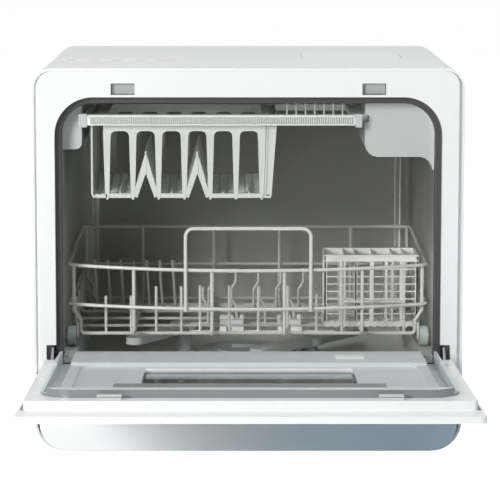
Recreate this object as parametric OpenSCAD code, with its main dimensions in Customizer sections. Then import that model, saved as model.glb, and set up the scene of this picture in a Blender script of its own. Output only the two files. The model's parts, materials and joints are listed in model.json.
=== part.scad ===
// Countertop dishwasher, standing with its door open and its racks in place.
// Millimetres. X runs to the right seen from the front, Y to the back, Z up.
// The origin is on the table, under the middle of the open machine.

/* [Cabinet] */
// Width of the outer shell
cab_w = 420; // [400:2:460]
// Height of the shell's top above its lower edge
cab_h = 377; // [372:1:400]
// Depth from the fascia's front to the rear panel
cab_d = 355; // [350:1:390]
// Wall of the plastic shell and base pan
shell_wall = 2.5; // [2:0.1:3.5]
// Radius of the shell's upper corners
shell_r = 19; // [12:1:24]
// Radius of the cabinet's lower corners
base_r = 30; // [20:1:34]
// How far the shell's front edge lies behind the fascia
shell_front = 2; // [1:0.5:3.5]
// Height of the seam between the base pan and the shell
base_seam = 36; // [34:1:42]
// Height of a foot
foot_h = 7; // [5:0.5:12]
// Radius of a foot
foot_r = 13; // [10:1:16]
// Distance of the feet from the sides and from the back
foot_inset = 50; // [45:1:60]

/* [Front frame] */
// How far the fascia lies inside the shell's side
fascia_inset = 6; // [5:0.5:8]
// How far the fascia's top lies under the shell's top
fascia_drop = 2.6; // [2.6:0.1:4]
// Thickness of the fascia
fascia_t = 8; // [7:0.5:9]
// Radius of the fascia's upper corners
fascia_r = 13; // [8:1:18]
// Width of the frame beside the opening
frame_side = 22; // [21:0.5:24]
// Height of the frame above the opening
frame_top = 27.8; // [27:0.2:30]
// Height of the opening's lower edge
sill_z = 84.5; // [84:0.5:86]
// Radius of the opening's upper corners
opening_r = 37.5; // [34:0.5:40]
// Radius of the opening's lower corners
opening_low_r = 6; // [4:1:8]
// Height of the kick panel's upper edge
kick_top = 78; // [76:0.5:79]
// How far the kick panel stands in front of the fascia
kick_out = 12; // [8:0.5:14]
// Height of the kick panel's lower edge
kick_low = 3; // [2:0.5:6]

/* [Tub] */
// Width of the visible gasket band
gasket_band = 6.7; // [6:0.1:8]
// How far the gasket is tucked behind the fascia
gasket_tuck = 1.5; // [1:0.1:1.9]
// Thickness of the gasket
gasket_t = 6; // [5:0.5:8]
// How far the tub's side lies inside the opening's side
tub_step = 6; // [6:0.2:7]
// Thickness of the steel tub
tub_wall = 1.2; // [0.8:0.1:1.5]
// Room between the tub's back and the rear panel
tub_rear_gap = 52.5; // [43:0.5:60]
// Height of the tub's floor
tub_floor = 72; // [70:0.5:74]
// Radius of the tub's upright rear corners
tub_back_r = 20; // [14:1:26]
// Radius of the tub's floor corners
tub_floor_r = 8; // [5:1:10]
// Width of the flange round the tub's mouth
tub_flange = 14; // [12:1:16]
// Width of a rack rail
rail_w = 14; // [13:0.5:15]
// Height of a rack rail's running face
rail_top = 96.7; // [96:0.1:96.8]
// Thickness of a rack rail
rail_t = 2; // [1.5:0.1:3]

/* [Spray arms and filter] */
// Distance of each arm's post from the middle
post_x = 65; // [64:0.5:70]
// Depth of the posts behind the fascia's front
post_y = 140; // [135:1:150]
// Radius of an arm's post
post_r = 7.9; // [7:0.1:8.4]
// Radius of the pin that an arm turns on
arm_pin_r = 5; // [4:0.1:5.5]
// Radial play of an arm on its pin
arm_play = 0.06; // [0.03:0.01:0.1]
// Reach of the left, upper arm
arm_l_reach = 98; // [80:1:100]
// Reach of the right, lower arm
arm_r_reach = 90; // [70:1:95]
// Height of the left arm's underside
arm_l_z = 95.2; // [94:0.2:96]
// Height of the right arm's underside
arm_r_z = 81; // [80.4:0.2:84]
// Thickness of an arm
arm_t = 7; // [5:0.5:8]
// Radius of an arm's hub
arm_hub_r = 15; // [12:0.5:18]
// Radius of an arm's tip
arm_tip_r = 9; // [7:0.5:11]
// Depth of the filter's middle behind the fascia's front
filter_y = 150; // [146:1:154]
// Radius of the filter cup
filter_r = 28; // [24:0.5:30]
// Radius of the sump bowl's inside
sump_r = 43; // [42:0.5:44]
// Depth of the sump bowl under the tub's floor
sump_depth = 36; // [32:1:40]

/* [Door] */
// Height of the hinge axis
hinge_z = 89; // [88.5:0.1:90]
// How far the hinge axis lies in front of the fascia
hinge_out = 8; // [8:0.1:9]
// Angle that the open door has turned through
door_open = 87; // [86:0.5:88]
// Thickness of the door's outer panel
door_skin = 2; // [1.5:0.1:2.1]
// Depth of the outer panel from its face to its joint
door_pan = 6.4; // [6.2:0.1:7]
// How far the outer panel's face lies in front of the hinge axis
door_face = 7.4; // [7.2:0.1:8]
// Width that the door is narrower than the shell, per side
door_inset = 9; // [8:0.5:10]
// Distance from the latch to the door's grip edge
door_grip = 35; // [30:1:38]
// Distance from the latch to the inner frame's edge
door_margin = 6; // [5:0.5:8]
// Overlap of the inner frame beside the opening
door_lap = 8; // [7:0.5:9]
// Gap between the closed door's rim and the fascia
door_gap = 0.3; // [0.2:0.05:0.5]
// Gap between the liner and the opening round it
liner_gap = 4; // [3.5:0.1:4.5]
// Radius of the liner's corners at the grip edge
liner_r = 30; // [29:1:34]
// Height of the liner's hinge-end band above the hinge plane
band_v = 12; // [11:0.1:12]
// Height of the liner's side bands
side_v = 10; // [9:0.1:10]
// Height of the liner's rim at the grip edge
rim_v = 15; // [13:0.1:15]
// Height of the recess floor
recess_v = 8.5; // [8:0.1:8.5]
// Depth of the wheel grooves below the hinge plane
groove_v = 0.5; // [0.4:0.1:1]
// Thickness of the liner
liner_t = 2; // [1.5:0.1:2.2]
// Width of the band beside the recess
recess_side = 26; // [22:0.5:28]
// Distance of the recess from the hinge axis
recess_u = 75; // [70:1:80]
// Width of the window
window_w = 195; // [160:1:230]
// Height of the window
window_h = 83; // [70:1:86]
// Distance of the window from the hinge axis
window_u = 101; // [98:1:104]
// Radius of the window's corners
window_r = 9; // [6:1:12]
// Thickness of a window pane
pane_t = 2.5; // [2:0.1:3]
// How far the window seal laps over the panes
seal_lap = 5.5; // [4:0.5:7]
// Length of the drip strip
strip_w = 244; // [200:1:250]
// Width of the drip strip
strip_h = 29; // [20:1:30]
// Thickness of the drip strip
strip_t = 0.8; // [0.5:0.1:1]

/* [Hinge and latch] */
// Radius of a hinge pin
hinge_pin_r = 2; // [1.8:0.1:2.4]
// Radial play of a hinge pin
hinge_play = 0.05; // [0.03:0.01:0.08]
// Radius of a hinge ear
hinge_ear_r = 5; // [4.6:0.1:5]
// Thickness of a hinge ear
hinge_ear_t = 2.5; // [2:0.1:3]
// Thickness of a door hinge arm
hinge_arm_t = 2; // [1.5:0.1:2.5]
// Width of a latch slot
latch_w = 23; // [21:0.5:25]
// Height of a latch slot
latch_h = 11.2; // [10.5:0.1:12]
// Distance of a latch from the middle
latch_x = 121.6; // [110:0.2:130]
// Height of a latch above the opening
latch_rise = 7.8; // [7.6:0.1:8.4]
// Play of a latch catch in its housing
latch_play = 0.4; // [0.3:0.05:0.5]
// Travel of a latch catch
latch_travel = 3; // [2:0.5:4]

/* [Lower rack] */
// Diameter of the rack's frame wires
wire_d = 3.5; // [3:0.1:3.8]
// Diameter of the floor wires and tines
fine_d = 3; // [2.6:0.1:3]
// Gap between the rails' middle and the tub's side
rack_gap = 4.5; // [4.2:0.1:6]
// Depth of the rack's front middle
rack_front = 14; // [13.5:0.1:16]
// How far the rack's front bows forward
rack_bow = 32; // [20:1:36]
// Distance of the rack's back from the tub's back
rack_short = 32; // [28:1:50]
// Height of the rack's top rail at the front
rack_top = 177.3; // [165:0.5:185]
// Rise of the top rail towards the back, in degrees
rack_rise = 1.9; // [0:0.1:2.5]
// Height of the lower front rail
rack_mid = 139; // [132:0.5:142]
// Height of the floor wires' middle
rack_floor = 108.9; // [108.9:0.1:110]
// Depth of the first floor wire
floor_y0 = 50; // [48:0.5:52]
// Number of floor wires
floor_n = 6; // [4:1:8]
// Distance of the rack's lower side from its upper side
side_step = 8.6; // [7:0.2:10]
// Half the distance between the inner lengthwise wires
long_in = 35.7; // [30:0.5:40]
// Half the distance between the outer lengthwise wires
long_out = 113; // [108:0.5:118]
// Width of the handle
handle_w = 123; // [110:1:130]
// Height of the handle
handle_top = 219; // [205:1:225]
// Radius of a wheel
wheel_r = 10; // [9:0.1:10]
// Width of a wheel
wheel_w = 8; // [6:0.5:8]
// Radius of a wheel's pin
wheel_pin_r = 2; // [1.6:0.1:2.4]
// Radial play of a wheel on its pin
wheel_play = 0.05; // [0.03:0.01:0.08]
// Gap between a wheel and its rail
wheel_gap = 0.3; // [0.2:0.05:0.5]

/* [Tines and basket] */
// Depth of the front folding rod
fold_y = 60; // [58:0.5:62]
// Distance between the two folding rods
fold_step = 45; // [44:0.5:48]
// Height of the folding rods' middle
fold_z = 108.5; // [108.5:0.1:108.6]
// Radius of a folding rod
fold_r = 1.4; // [1.3:0.05:1.4]
// Distance between folding tines
fold_pitch = 29.2; // [28:0.2:30]
// Height of the folding tines' tips
fold_top = 155.5; // [140:0.5:156]
// Width of a tine clip
clip_w = 24; // [22:0.5:26]
// Distance between the fixed tines at the left
tine_pitch = 13.8; // [12:0.2:14]
// Height of the fixed tines' tips
tine_top = 159; // [140:0.5:162]
// Width of the cutlery basket
basket_w = 94; // [80:1:94]
// Depth of the cutlery basket
basket_d = 50; // [40:1:54]
// Height of the cutlery basket's rim
basket_top = 184.6; // [170:0.5:190]
// Wall of the cutlery basket
basket_wall = 1.8; // [1.5:0.1:2.4]
// Distance of the basket's left side from the middle
basket_x = 77; // [76:0.5:78]
// Depth of the basket's front
basket_y = 70; // [68:0.5:72]
// Number of columns of holes in the basket
basket_cols = 6; // [4:1:8]
// Number of rows of holes in the basket
basket_rows = 4; // [3:1:9]

/* [Upper tray] */
// Distance of the tray rail's underside from the tub's roof
tray_drop = 22.6; // [21:0.2:29]
// Height of the tray rail
tray_h = 10.2; // [8:0.2:11]
// Depth of the tray rail's front
tray_y = 14; // [13:0.5:16]
// Thickness of the tray rail
tray_t = 8; // [6:0.5:9]
// Length of the tray's runners
tray_d = 132; // [110:1:140]
// Distance of the tray rail's left end from the tub's side
tray_left = 25; // [24:0.5:26]
// Distance of the tray rail's right end from the tub's side
tray_right = 78; // [77:0.5:79]
// Depth that the shelf hangs under the tray rail
shelf_h = 73.9; // [63:0.5:79]
// Distance between the shelf's legs
leg_pitch = 25.6; // [24:0.2:25.8]
// Distance of the shelf's first leg from the tray rail's left end
leg_in = 16.9; // [15:0.1:19]
// Number of legs
leg_n = 7; // [5:1:7]
// Width of a leg at the top
leg_top_w = 8; // [7:0.2:9]
// Width of a leg at the bottom
leg_low_w = 4.2; // [3:0.2:5]
// Thickness of the shelf's plates
shelf_t = 1.8; // [1.5:0.1:2.5]
// Height of the shelf's ridges above its tips
ridge_h = 51; // [34:1:56]

/* [Covers in the tub] */
// Width of the duct cover from the tub's side
duct_w = 67.5; // [60:0.5:68]
// Height of the duct cover
duct_h = 54.7; // [48:0.5:63]
// Depth of the covers' front
cover_y = 26; // [25:0.5:28]
// Length of the covers
cover_d = 124; // [100:1:130]
// Width of the left tray bracket
bracket_w = 19; // [18.5:0.5:20]
// Height of the left tray bracket
bracket_h = 47.2; // [43:0.5:53]
// Clearance between the tray's runners and their grooves
slide_gap = 0.4; // [0.3:0.05:0.5]

/* [Top] */
// Left edge of the filler lid
lid_x = 57; // [50:1:60]
// Front edge of the filler lid
lid_y = 152; // [140:1:160]
// Width of the filler lid
lid_w = 102; // [80:1:110]
// Depth of the filler lid
lid_d = 71; // [50:1:74]
// Gap round the filler lid
lid_gap = 0.5; // [0.3:0.1:0.8]
// Depth of the filler well
well_depth = 16; // [12:1:20]
// Distance of the control strip from the cabinet's left side
panel_x = 18; // [16:1:30]
// Front edge of the control strip
panel_y = 104; // [90:1:120]
// Length of the control strip
panel_w = 114; // [90:1:120]
// Width of the control strip
panel_d = 30; // [24:1:36]

/* [Pumps and fan] */
// Radius of the wash pump's housing
pump_r = 29; // [26:0.5:30]
// Radius of the wash pump's motor
motor_r = 25; // [20:0.5:26]
// Height of the pumps' axis
pump_z = 36; // [34.5:0.5:38]
// Radius of the drain pump's housing
drain_r = 20; // [17:0.5:22]
// Radius of the fan's housing
fan_r = 40; // [34:0.5:42]
// Distance of the fan's middle from the rear panel
fan_in = 70.5; // [63:0.5:74]
// Distance of the fan from the middle
fan_x = 120; // [110:1:125]
// Distance that the ports stand out at the back
port_out = 12; // [10:0.5:16]
// Radius of the inlet's thread
inlet_r = 13.2; // [13.2:0.1:13.3]
// Radius of the drain spigot
drain_port_r = 9.5; // [8:0.1:10]

/* [Hidden] */
$fn = 48;
cut = 1;                                        // how far a cut runs past a face
seam = 0.15;                                    // how deep joined shapes of one piece sink into each other
weld = 0.06;                                    // gap that stands for a weld between two wires
knuckle = 0.3;                                  // length that a knuckle bridges in a bent wire

cab_x = cab_w / 2;
shell_in = cab_x - shell_wall;
fascia_x = cab_x - fascia_inset;
fascia_top = cab_h - fascia_drop;
opening_x = cab_x - frame_side;
opening_top = cab_h - frame_top;
latch_z = opening_top + latch_rise;

gasket_x = opening_x + gasket_tuck;
gasket_top = opening_top + gasket_tuck;
gasket_low = sill_z - gasket_tuck;
gasket_in = opening_x - gasket_band;
tub_y0 = fascia_t + gasket_t;
tub_x = opening_x - tub_step;
tub_top = opening_top - tub_step;
tub_r = opening_r - tub_step;
tub_sill = sill_z + tub_step;
flange_x = tub_x + tub_flange;
tub_under = tub_floor - tub_wall;
rear_t = 2.5;
rear_y = cab_d - rear_t;
tub_back = rear_y - tub_rear_gap;
rack_back = tub_back - rack_short;
fan_y = rear_y - fan_in;
tray_z = tub_top - tray_drop;
tray_x0 = -tub_x + tray_left;
tray_x1 = tub_x - tray_right;
shelf_low = tray_z - shelf_h;
duct_low = tub_top - duct_h;
bracket_low = tub_top - bracket_h;

hinge_y = -hinge_out;
latch_u = latch_z - hinge_z;
grip_u = latch_u + door_grip;
frame_u = latch_u + door_margin;
door_x = cab_x - door_inset;
frame_x = opening_x + door_lap;
rim_plane = hinge_out - door_gap;
liner_x = opening_x - liner_gap;
liner_u1 = opening_top - 2.2 - hinge_z;
pan_v = door_pan - door_face;
skin_v = door_skin - door_face;
recess_x = liner_x - recess_side;
recess_u1 = liner_u1 - 12;
door_low = 6;                                   // how far the outer panel reaches below the hinge axis

// Depth that the open door reaches in front of the fascia, and the ports behind it
door_reach = hinge_out + grip_u * sin(door_open) + door_face * cos(door_open);
rear_reach = cab_d + port_out;
front_y = (door_reach - rear_reach) / 2;

rail_in = tub_x - rail_w;
wheel_z = rail_top + wheel_gap + wheel_r;
wheel_x = tub_x - rail_w / 2 - wheel_w / 2;
rack_x = tub_x - rack_gap;
ear_x = opening_x + 2;
arm_x = frame_x - 9.4;

// ---- Placing ----

// The cabinet's own frame: the fascia's front and the shell's lower edge
module machine() { translate([0, front_y, foot_h]) children(); }

// The closed door's frame, turned about the hinge: X, depth v behind the axis, distance u up from it
module door() {
    translate([0, front_y + hinge_y, foot_h + hinge_z]) rotate([door_open, 0, 0]) children();
}

module both_sides() {
    children();
    mirror([1, 0, 0]) children();
}

// Extrudes an outline drawn in X and Z from y0 back to y1
module along_y(y0, y1) { translate([0, y1, 0]) rotate([90, 0, 0]) linear_extrude(y1 - y0) children(); }

// Extrudes an outline drawn in Y and Z from x0 to x1
module along_x(x0, x1) { translate([x0, 0, 0]) rotate([90, 0, 90]) linear_extrude(x1 - x0) children(); }

// A block between two corners
module block(a, b) { translate(a) cube(b - a); }

// A round bar between two points
module rod(a, b, r) {
    v = b - a;
    translate(a) rotate([0, acos(v.z / norm(v)), atan2(v.y, v.x)]) cylinder(r = r, h = norm(v));
}

// Wires run through points [across, z]: how each leg heads, and how it turns at the next point
function heading(p, i) = atan2(p[i + 1].x - p[i].x, p[i + 1].y - p[i].y);
function turn(p, i) = (i == 0 || i == len(p) - 1) ? 0 : (heading(p, i) - heading(p, i - 1) + 540)
    % 360 - 180;
function square_turn(p, i) = abs(abs(turn(p, i)) - 90) < 0.01;
function slack(p, i, r) = square_turn(p, i) ? r : (i == 0 || i == len(p) - 1) ? 0 : knuckle / 2;

// The rest of a wire from point i, along its own +Z: round bends at square corners, small knuckles at others
module run(p, bend_r, d, i = 0) {
    leg = norm(p[i + 1] - p[i]) - slack(p, i, bend_r) - slack(p, i + 1, bend_r);
    side = turn(p, i + 1) < 0 ? -1 : 1;
    cylinder(r = d / 2, h = leg);
    if (i < len(p) - 2 && square_turn(p, i + 1)) translate([side * bend_r, 0, leg]) {
        rotate([90, 0, side > 0 ? 180 : 0]) rotate_extrude(angle = 90) translate([bend_r, 0])
            circle(r = d / 2);
        rotate([0, side * 90, 0]) translate([-side * bend_r, 0, 0]) run(p, bend_r, d, i + 1);
    }
    else if (i < len(p) - 2) translate([0, 0, leg + knuckle / 2]) {
        sphere(r = d / 2 + knuckle / 4);
        rotate([0, turn(p, i + 1), 0]) translate([0, 0, knuckle / 2]) run(p, bend_r, d, i + 1);
    }
}

module wire_xz(p, y, bend_r, d) translate([p[0].x, y, p[0].y]) rotate([0, heading(p, 0), 0]) run(p,
    bend_r, d);
module wire_yz(p, x, bend_r, d) translate([x, 0, 0]) rotate([0, 0, 90]) wire_xz(p, 0, bend_r, d);

// ---- Outlines ----

// Rectangle from -x to x and z0 to z1, with its own radius for the upper and the lower corners
module panel(x, z0, z1, upper_r, lower_r) {
    translate([-x, z0 + lower_r]) square([2 * x, z1 - z0 - upper_r - lower_r]);
    translate([-x + upper_r, z0 + lower_r]) square([2 * (x - upper_r), z1 - z0 - lower_r]);
    translate([-x + lower_r, z0]) square([2 * (x - lower_r), z1 - z0 - upper_r]);
    for (s = [-1, 1]) {
        translate([s * (x - upper_r), z1 - upper_r]) circle(r = upper_r);
        translate([s * (x - lower_r), z0 + lower_r]) circle(r = lower_r);
    }
}

// Rectangle with four equal corners
module rounded(x0, y0, x1, y1, r) {
    translate([(x0 + x1) / 2, 0]) panel((x1 - x0) / 2, y0, y1, r, r);
}

// ---- Cabinet ----

module shell_outline(inset) {
    panel(cab_x - inset, inset, cab_h - inset, shell_r - inset, base_r - inset);
}

lid_x1 = lid_x + lid_w;
lid_y1 = lid_y + lid_d;
lid_axis_r = 2.2;
lid_pin_r = 1.5;
lid_pin_play = 0.05;
lid_axis_y = lid_y1 - lid_axis_r;
lid_axis_z = cab_h - lid_axis_r;
well_wall = 5;
screw_r = 1.5;
screw_play = 0.05;
rear_flange = 14;
rear_screws = [for (s = [-1, 1], z = [base_seam + 20, cab_h / 2, cab_h - shell_r - 20])
    [s * (shell_in - rear_flange / 2), z]];

module cabinet_shell() color("white") machine() {
    difference() {
        union() {
            difference() {
                along_y(shell_front, cab_d) shell_outline(0);
                along_y(shell_front - cut, rear_y - 2) shell_outline(shell_wall);
                along_y(shell_front - cut, rear_y) shell_outline(shell_wall + rear_flange);
                along_y(rear_y, cab_d + cut) shell_outline(shell_wall);
            }
            block([lid_x - well_wall, lid_y - well_wall, cab_h - well_depth - 2],
                [lid_x1 + well_wall, lid_y1 + well_wall, cab_h - shell_wall + seam]);
        }
        block([-cab_x - cut, shell_front - cut, -cut], [cab_x + cut, cab_d + cut, base_seam]);
        block([lid_x - lid_gap, lid_y - lid_gap, cab_h - 3.2], [lid_x1 + lid_gap, lid_y1 + lid_gap,
            cab_h + cut]);
        block([lid_x + 3, lid_y + 3, cab_h - well_depth], [lid_x1 - 3, lid_y1 - 12, cab_h]);
        block([lid_x - lid_gap, lid_axis_y - 3, cab_h - 5.4], [lid_x1 + lid_gap, lid_y1 + lid_gap, cab_h]);
        rod([lid_x - 3.6, lid_axis_y, lid_axis_z], [lid_x1 + 3.6, lid_axis_y, lid_axis_z],
            lid_pin_r + lid_pin_play);
        translate([lid_x + 24, lid_y + 24, cab_h - well_depth - 6]) cylinder(r = 12, h = 10);
        block([panel_x - cab_x, panel_y, cab_h - 3 * shell_wall],
            [panel_x - cab_x + panel_w, panel_y + panel_d, cab_h + cut]);
        for (p = rear_screws) rod([p.x, rear_y - 4, p.y], [p.x, rear_y + 1, p.y], screw_r + screw_play);
    }
}

slot_out = 9.5;
slot_low = 3.1;
slot_top = 21.5;

module fascia_outline() {
    panel(fascia_x, kick_top, fascia_top, fascia_r, 3);
}

module front_fascia() color("whitesmoke") machine() difference() {
    union() {
        along_y(0, fascia_t) fascia_outline();
        along_y(shell_front + 3, fascia_t) intersection() {
            shell_outline(shell_wall);
            translate([-cab_x, kick_top]) square([cab_w, cab_h]);
        }
    }
    along_y(-cut, fascia_t + cut) panel(opening_x, sill_z, opening_top, opening_r, opening_low_r);
    both_sides() {
        block([latch_x - latch_w / 2, -cut, latch_z - latch_h / 2], [latch_x + latch_w / 2,
            fascia_t + cut, latch_z + latch_h / 2]);
        block([opening_x, -cut, sill_z + slot_low], [opening_x + slot_out, fascia_t + cut,
            sill_z + slot_top]);
    }
}

module kick_panel() color("lightsteelblue") machine() difference() {
    along_y(-kick_out, shell_front + 3) panel(fascia_x, kick_low, kick_top, 2, base_r - fascia_inset / 2);
    along_y(-kick_out + 3, shell_front + 4) panel(fascia_x - 3, kick_low + 3, kick_top - 3, 2,
        base_r - fascia_inset / 2 - 3);
}

foot_at = [for (sx = [-1, 1], y = [foot_inset, cab_d - foot_inset]) [sx * (cab_x - foot_inset), y]];
foot_stud_r = 3;

module base_pan() color("gainsboro") machine() difference() {
    union() {
        intersection() {
            difference() {
                along_y(shell_front, cab_d) shell_outline(0);
                along_y(shell_front - cut, rear_y) shell_outline(shell_wall);
            }
            block([-cab_x, 0, 0], [cab_x, cab_d, base_seam]);
        }
        // columns under the tub, and cradles under the pumps
        for (s = [-1, 1], y = [tub_y0 + 34, tub_back - 22])
            block([s * (tub_x - 22) - 6, y - 6, shell_wall / 2], [s * (tub_x - 22) + 6, y + 6, tub_under]);
        for (p = foot_at) translate([p.x, p.y, shell_wall / 2]) cylinder(r = 7, h = 8);
    }
    for (p = foot_at) translate([p.x, p.y, -cut]) cylinder(r = foot_stud_r + screw_play, h = 7 + cut);
}

louvre_h = 40;

module rear_panel() color("gainsboro") machine() difference() {
    along_y(rear_y, cab_d) intersection() {
        shell_outline(shell_wall);
        translate([-cab_x, base_seam]) square([cab_w, cab_h]);
    }
    for (i = [-7 : 7], row = [1, 2])
        block([i * 14 - 3, rear_y - cut, cab_h - 40 - row * (louvre_h + 10)],
            [i * 14 + 3, cab_d + cut, cab_h - 40 - row * (louvre_h + 10) + louvre_h]);
    for (p = rear_screws) rod([p.x, rear_y - cut, p.y], [p.x, cab_d + cut, p.y], screw_r + screw_play);
    for (p = [[port_in_x, inlet_r - port_neck + 0.2], [port_drain_x, drain_port_r - port_neck + 0.2],
        [gland_x, gland_r + 0.2]])
        rod([p.x, rear_y - cut, port_z], [p.x, cab_d + cut, port_z], p.y);
}

module feet() color("dimgray") machine() for (p = foot_at) translate([p.x, p.y, 0]) {
    translate([0, 0, -foot_h]) cylinder(r = foot_r, h = foot_h);
    translate([0, 0, -seam]) cylinder(r = foot_stud_r, h = 6 + seam);
}

module cabinet_screws() color("silver") machine() for (p = rear_screws) {
    rod([p.x, cab_d, p.y], [p.x, cab_d + 1.6, p.y], 3.4);
    rod([p.x, rear_y - 3, p.y], [p.x, cab_d + seam, p.y], screw_r);
}

// ---- Tub and seals ----

module tub_solid(grow, y0) intersection() {
    along_y(y0, tub_back + grow)
        panel(tub_x + grow, tub_floor - grow, tub_top + grow, tub_r + grow, tub_floor_r + grow);
    translate([0, 0, tub_floor - grow - cut]) linear_extrude(tub_top - tub_floor + 2 * (grow + cut))
        panel(tub_x + grow, y0 - 40, tub_back + grow, tub_back_r + grow, 4);
}

post_hole_r = post_r + 0.4;
duct_hole_z = tub_top - 26;

module tub() color("silver") machine() difference() {
    union() {
        tub_solid(tub_wall, tub_y0);
        along_y(tub_y0, tub_y0 + tub_wall) panel(flange_x, tub_floor - 6, gasket_top, opening_r, 6);
    }
    tub_solid(0, tub_y0 + tub_wall);
    along_y(tub_y0 - cut, tub_y0 + 3) panel(tub_x, tub_sill, tub_top, tub_r, 6);
    translate([0, filter_y, tub_floor - 5]) cylinder(r = sump_r + 1, h = 10);
    both_sides() translate([post_x, post_y, tub_floor - 5]) cylinder(r = post_hole_r, h = 10);
    block([tub_x - 5, cover_y + 40, duct_hole_z], [tub_x + 5, cover_y + 90, duct_hole_z + 12]);
}

module tub_gasket() color("darkslategray") machine() difference() {
    along_y(fascia_t, tub_y0) panel(gasket_x, gasket_low, gasket_top, opening_r + gasket_tuck,
        opening_low_r + gasket_tuck);
    along_y(fascia_t - cut, tub_y0 + cut)
        panel(gasket_in, sill_z + gasket_band - 0.3, opening_top - gasket_band, opening_r - gasket_band, 4);
}

rail_y0 = tub_y0 + 4;

module rack_rails() color("darkgray") machine() both_sides() {
    difference() {
        block([rail_in, rail_y0, tub_floor], [tub_x, tub_back - tub_back_r, rail_top]);
        block([rail_in + rail_t, rail_y0 - cut, tub_floor - cut], [tub_x + cut, tub_back,
            rail_top - rail_t]);
    }
    // tongue that reaches to the open door's groove
    block([rail_in + 0.6, hinge_y + 3, rail_top - rail_t], [groove_out - 0.6, rail_y0 + cut, rail_top]);
}

// ---- Sump, filter and spray arms ----

sump_wall = 3;
sump_flange_r = 54;
sump_low = tub_under - sump_depth;
stub_z = sump_low + 9;
stub_r = 7.5;
stub_bore = 5.5;
pump_x0 = 95;
drain_x = -84;

module sump() color("gray") machine() difference() {
    union() {
        translate([0, filter_y, tub_under - 3]) cylinder(r = sump_flange_r, h = 3);
        translate([0, filter_y, sump_low]) cylinder(r = sump_r + sump_wall, h = sump_depth);
        rod([drain_x, filter_y, stub_z], [pump_x0, filter_y, stub_z], stub_r);
    }
    translate([0, filter_y, sump_low + sump_wall]) cylinder(r = sump_r, h = sump_depth);
    rod([drain_x - cut, filter_y, stub_z], [pump_x0 + cut, filter_y, stub_z], stub_bore);
}

filter_play = 0.4;
plate_r = 52;
plate_t = 1;

module filter_plate() color("lightgray") machine() difference() {
    translate([0, filter_y, tub_floor]) cylinder(r = plate_r, h = plate_t);
    translate([0, filter_y, tub_floor - cut]) cylinder(r = filter_r + filter_play, h = 3 * cut);
    for (a = [0 : 15 : 345], r = [34, 39]) translate([r * cos(a), filter_y + r * sin(a), tub_floor - cut])
        cylinder(r = 1.6, h = 3 * cut);
}

module filter_cup() color("gainsboro") machine() {
    difference() {
        union() {
            translate([0, filter_y, sump_low + 12]) cylinder(r = filter_r,
                h = tub_floor + plate_t + 2.3 - sump_low - 12);
            translate([0, filter_y, tub_floor + plate_t + 0.3]) cylinder(r = filter_r + 3, h = 2);
        }
        translate([0, filter_y, sump_low + 14]) cylinder(r = filter_r - 1.5,
            h = tub_floor + plate_t - sump_low - 14);
        for (a = [0 : 30 : 330], z = [sump_low + 18, sump_low + 30])
            translate([0, filter_y, z]) rotate([0, 90, a]) cylinder(r = 3, h = filter_r + cut);
    }
    block([-16, filter_y - 3, tub_floor + plate_t + 2], [16, filter_y + 3, tub_floor + plate_t + 6.2]);
}

manifold_y = 78;
manifold_z = 59;
manifold_r = 8.6;
duct_half = 7;
pin_over = 1.4;
arm_lift = 0.3;

module post(s, arm_z) {
    translate([s * post_x, post_y, manifold_z]) cylinder(r = post_r, h = arm_z - arm_lift - manifold_z);
    translate([s * post_x, post_y, tub_floor]) cylinder(r = 11, h = 2);
    translate([s * post_x, post_y, arm_z - arm_lift - seam]) cylinder(r = arm_pin_r,
        h = arm_t + arm_lift + pin_over);
}

module spray_manifold() color("lightgray") machine() {
    post(-1, arm_l_z);
    post(1, arm_r_z);
    // square duct, run round the sump to both posts
    both_sides() block([post_x - manifold_r, manifold_y - manifold_r, manifold_z - duct_half],
        [post_x + manifold_r, post_y + manifold_r, manifold_z + duct_half]);
    block([-post_x, manifold_y - manifold_r, manifold_z - duct_half], [post_x, manifold_y + manifold_r,
        manifold_z + duct_half]);
}

// One blade from the hub to a tip, seen from above
module blade(reach, a) rotate(a) {
    polygon([[0, -arm_hub_r * 0.8], [reach - arm_tip_r, -arm_tip_r], [reach - arm_tip_r, arm_tip_r], [0,
        arm_hub_r * 0.8]]);
    translate([reach - arm_tip_r, 0]) circle(r = arm_tip_r);
}

module spray_arm(s, z, reach, a) machine() translate([s * post_x, post_y, z]) difference() {
    union() {
        linear_extrude(arm_t) for (side = [0, 180]) blade(reach, a + side);
        cylinder(r = arm_hub_r, h = arm_t + 1);
    }
    translate([0, 0, -cut]) cylinder(r = arm_pin_r + arm_play, h = arm_t + 2 + cut);
    for (side = [0, 180], d = [0.35, 0.6, 0.85]) rotate(a + side) translate([reach * d, 2, arm_t - 2])
        cylinder(r = 1.5, h = 4);
}

arm_l_angle = 237;
arm_r_angle = 228;

module spray_arm_left() color("lightgray") spray_arm(-1, arm_l_z, arm_l_reach, arm_l_angle);
module spray_arm_right() color("lightgray") spray_arm(1, arm_r_z, arm_r_reach, arm_r_angle);

// ---- Pumps, heater and fan ----

pump_w = 24;
pump_wall = 3;
motor_len = 66;
rotor_gap = 1.4;
shaft_r = 3;
shaft_play = 0.05;

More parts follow.
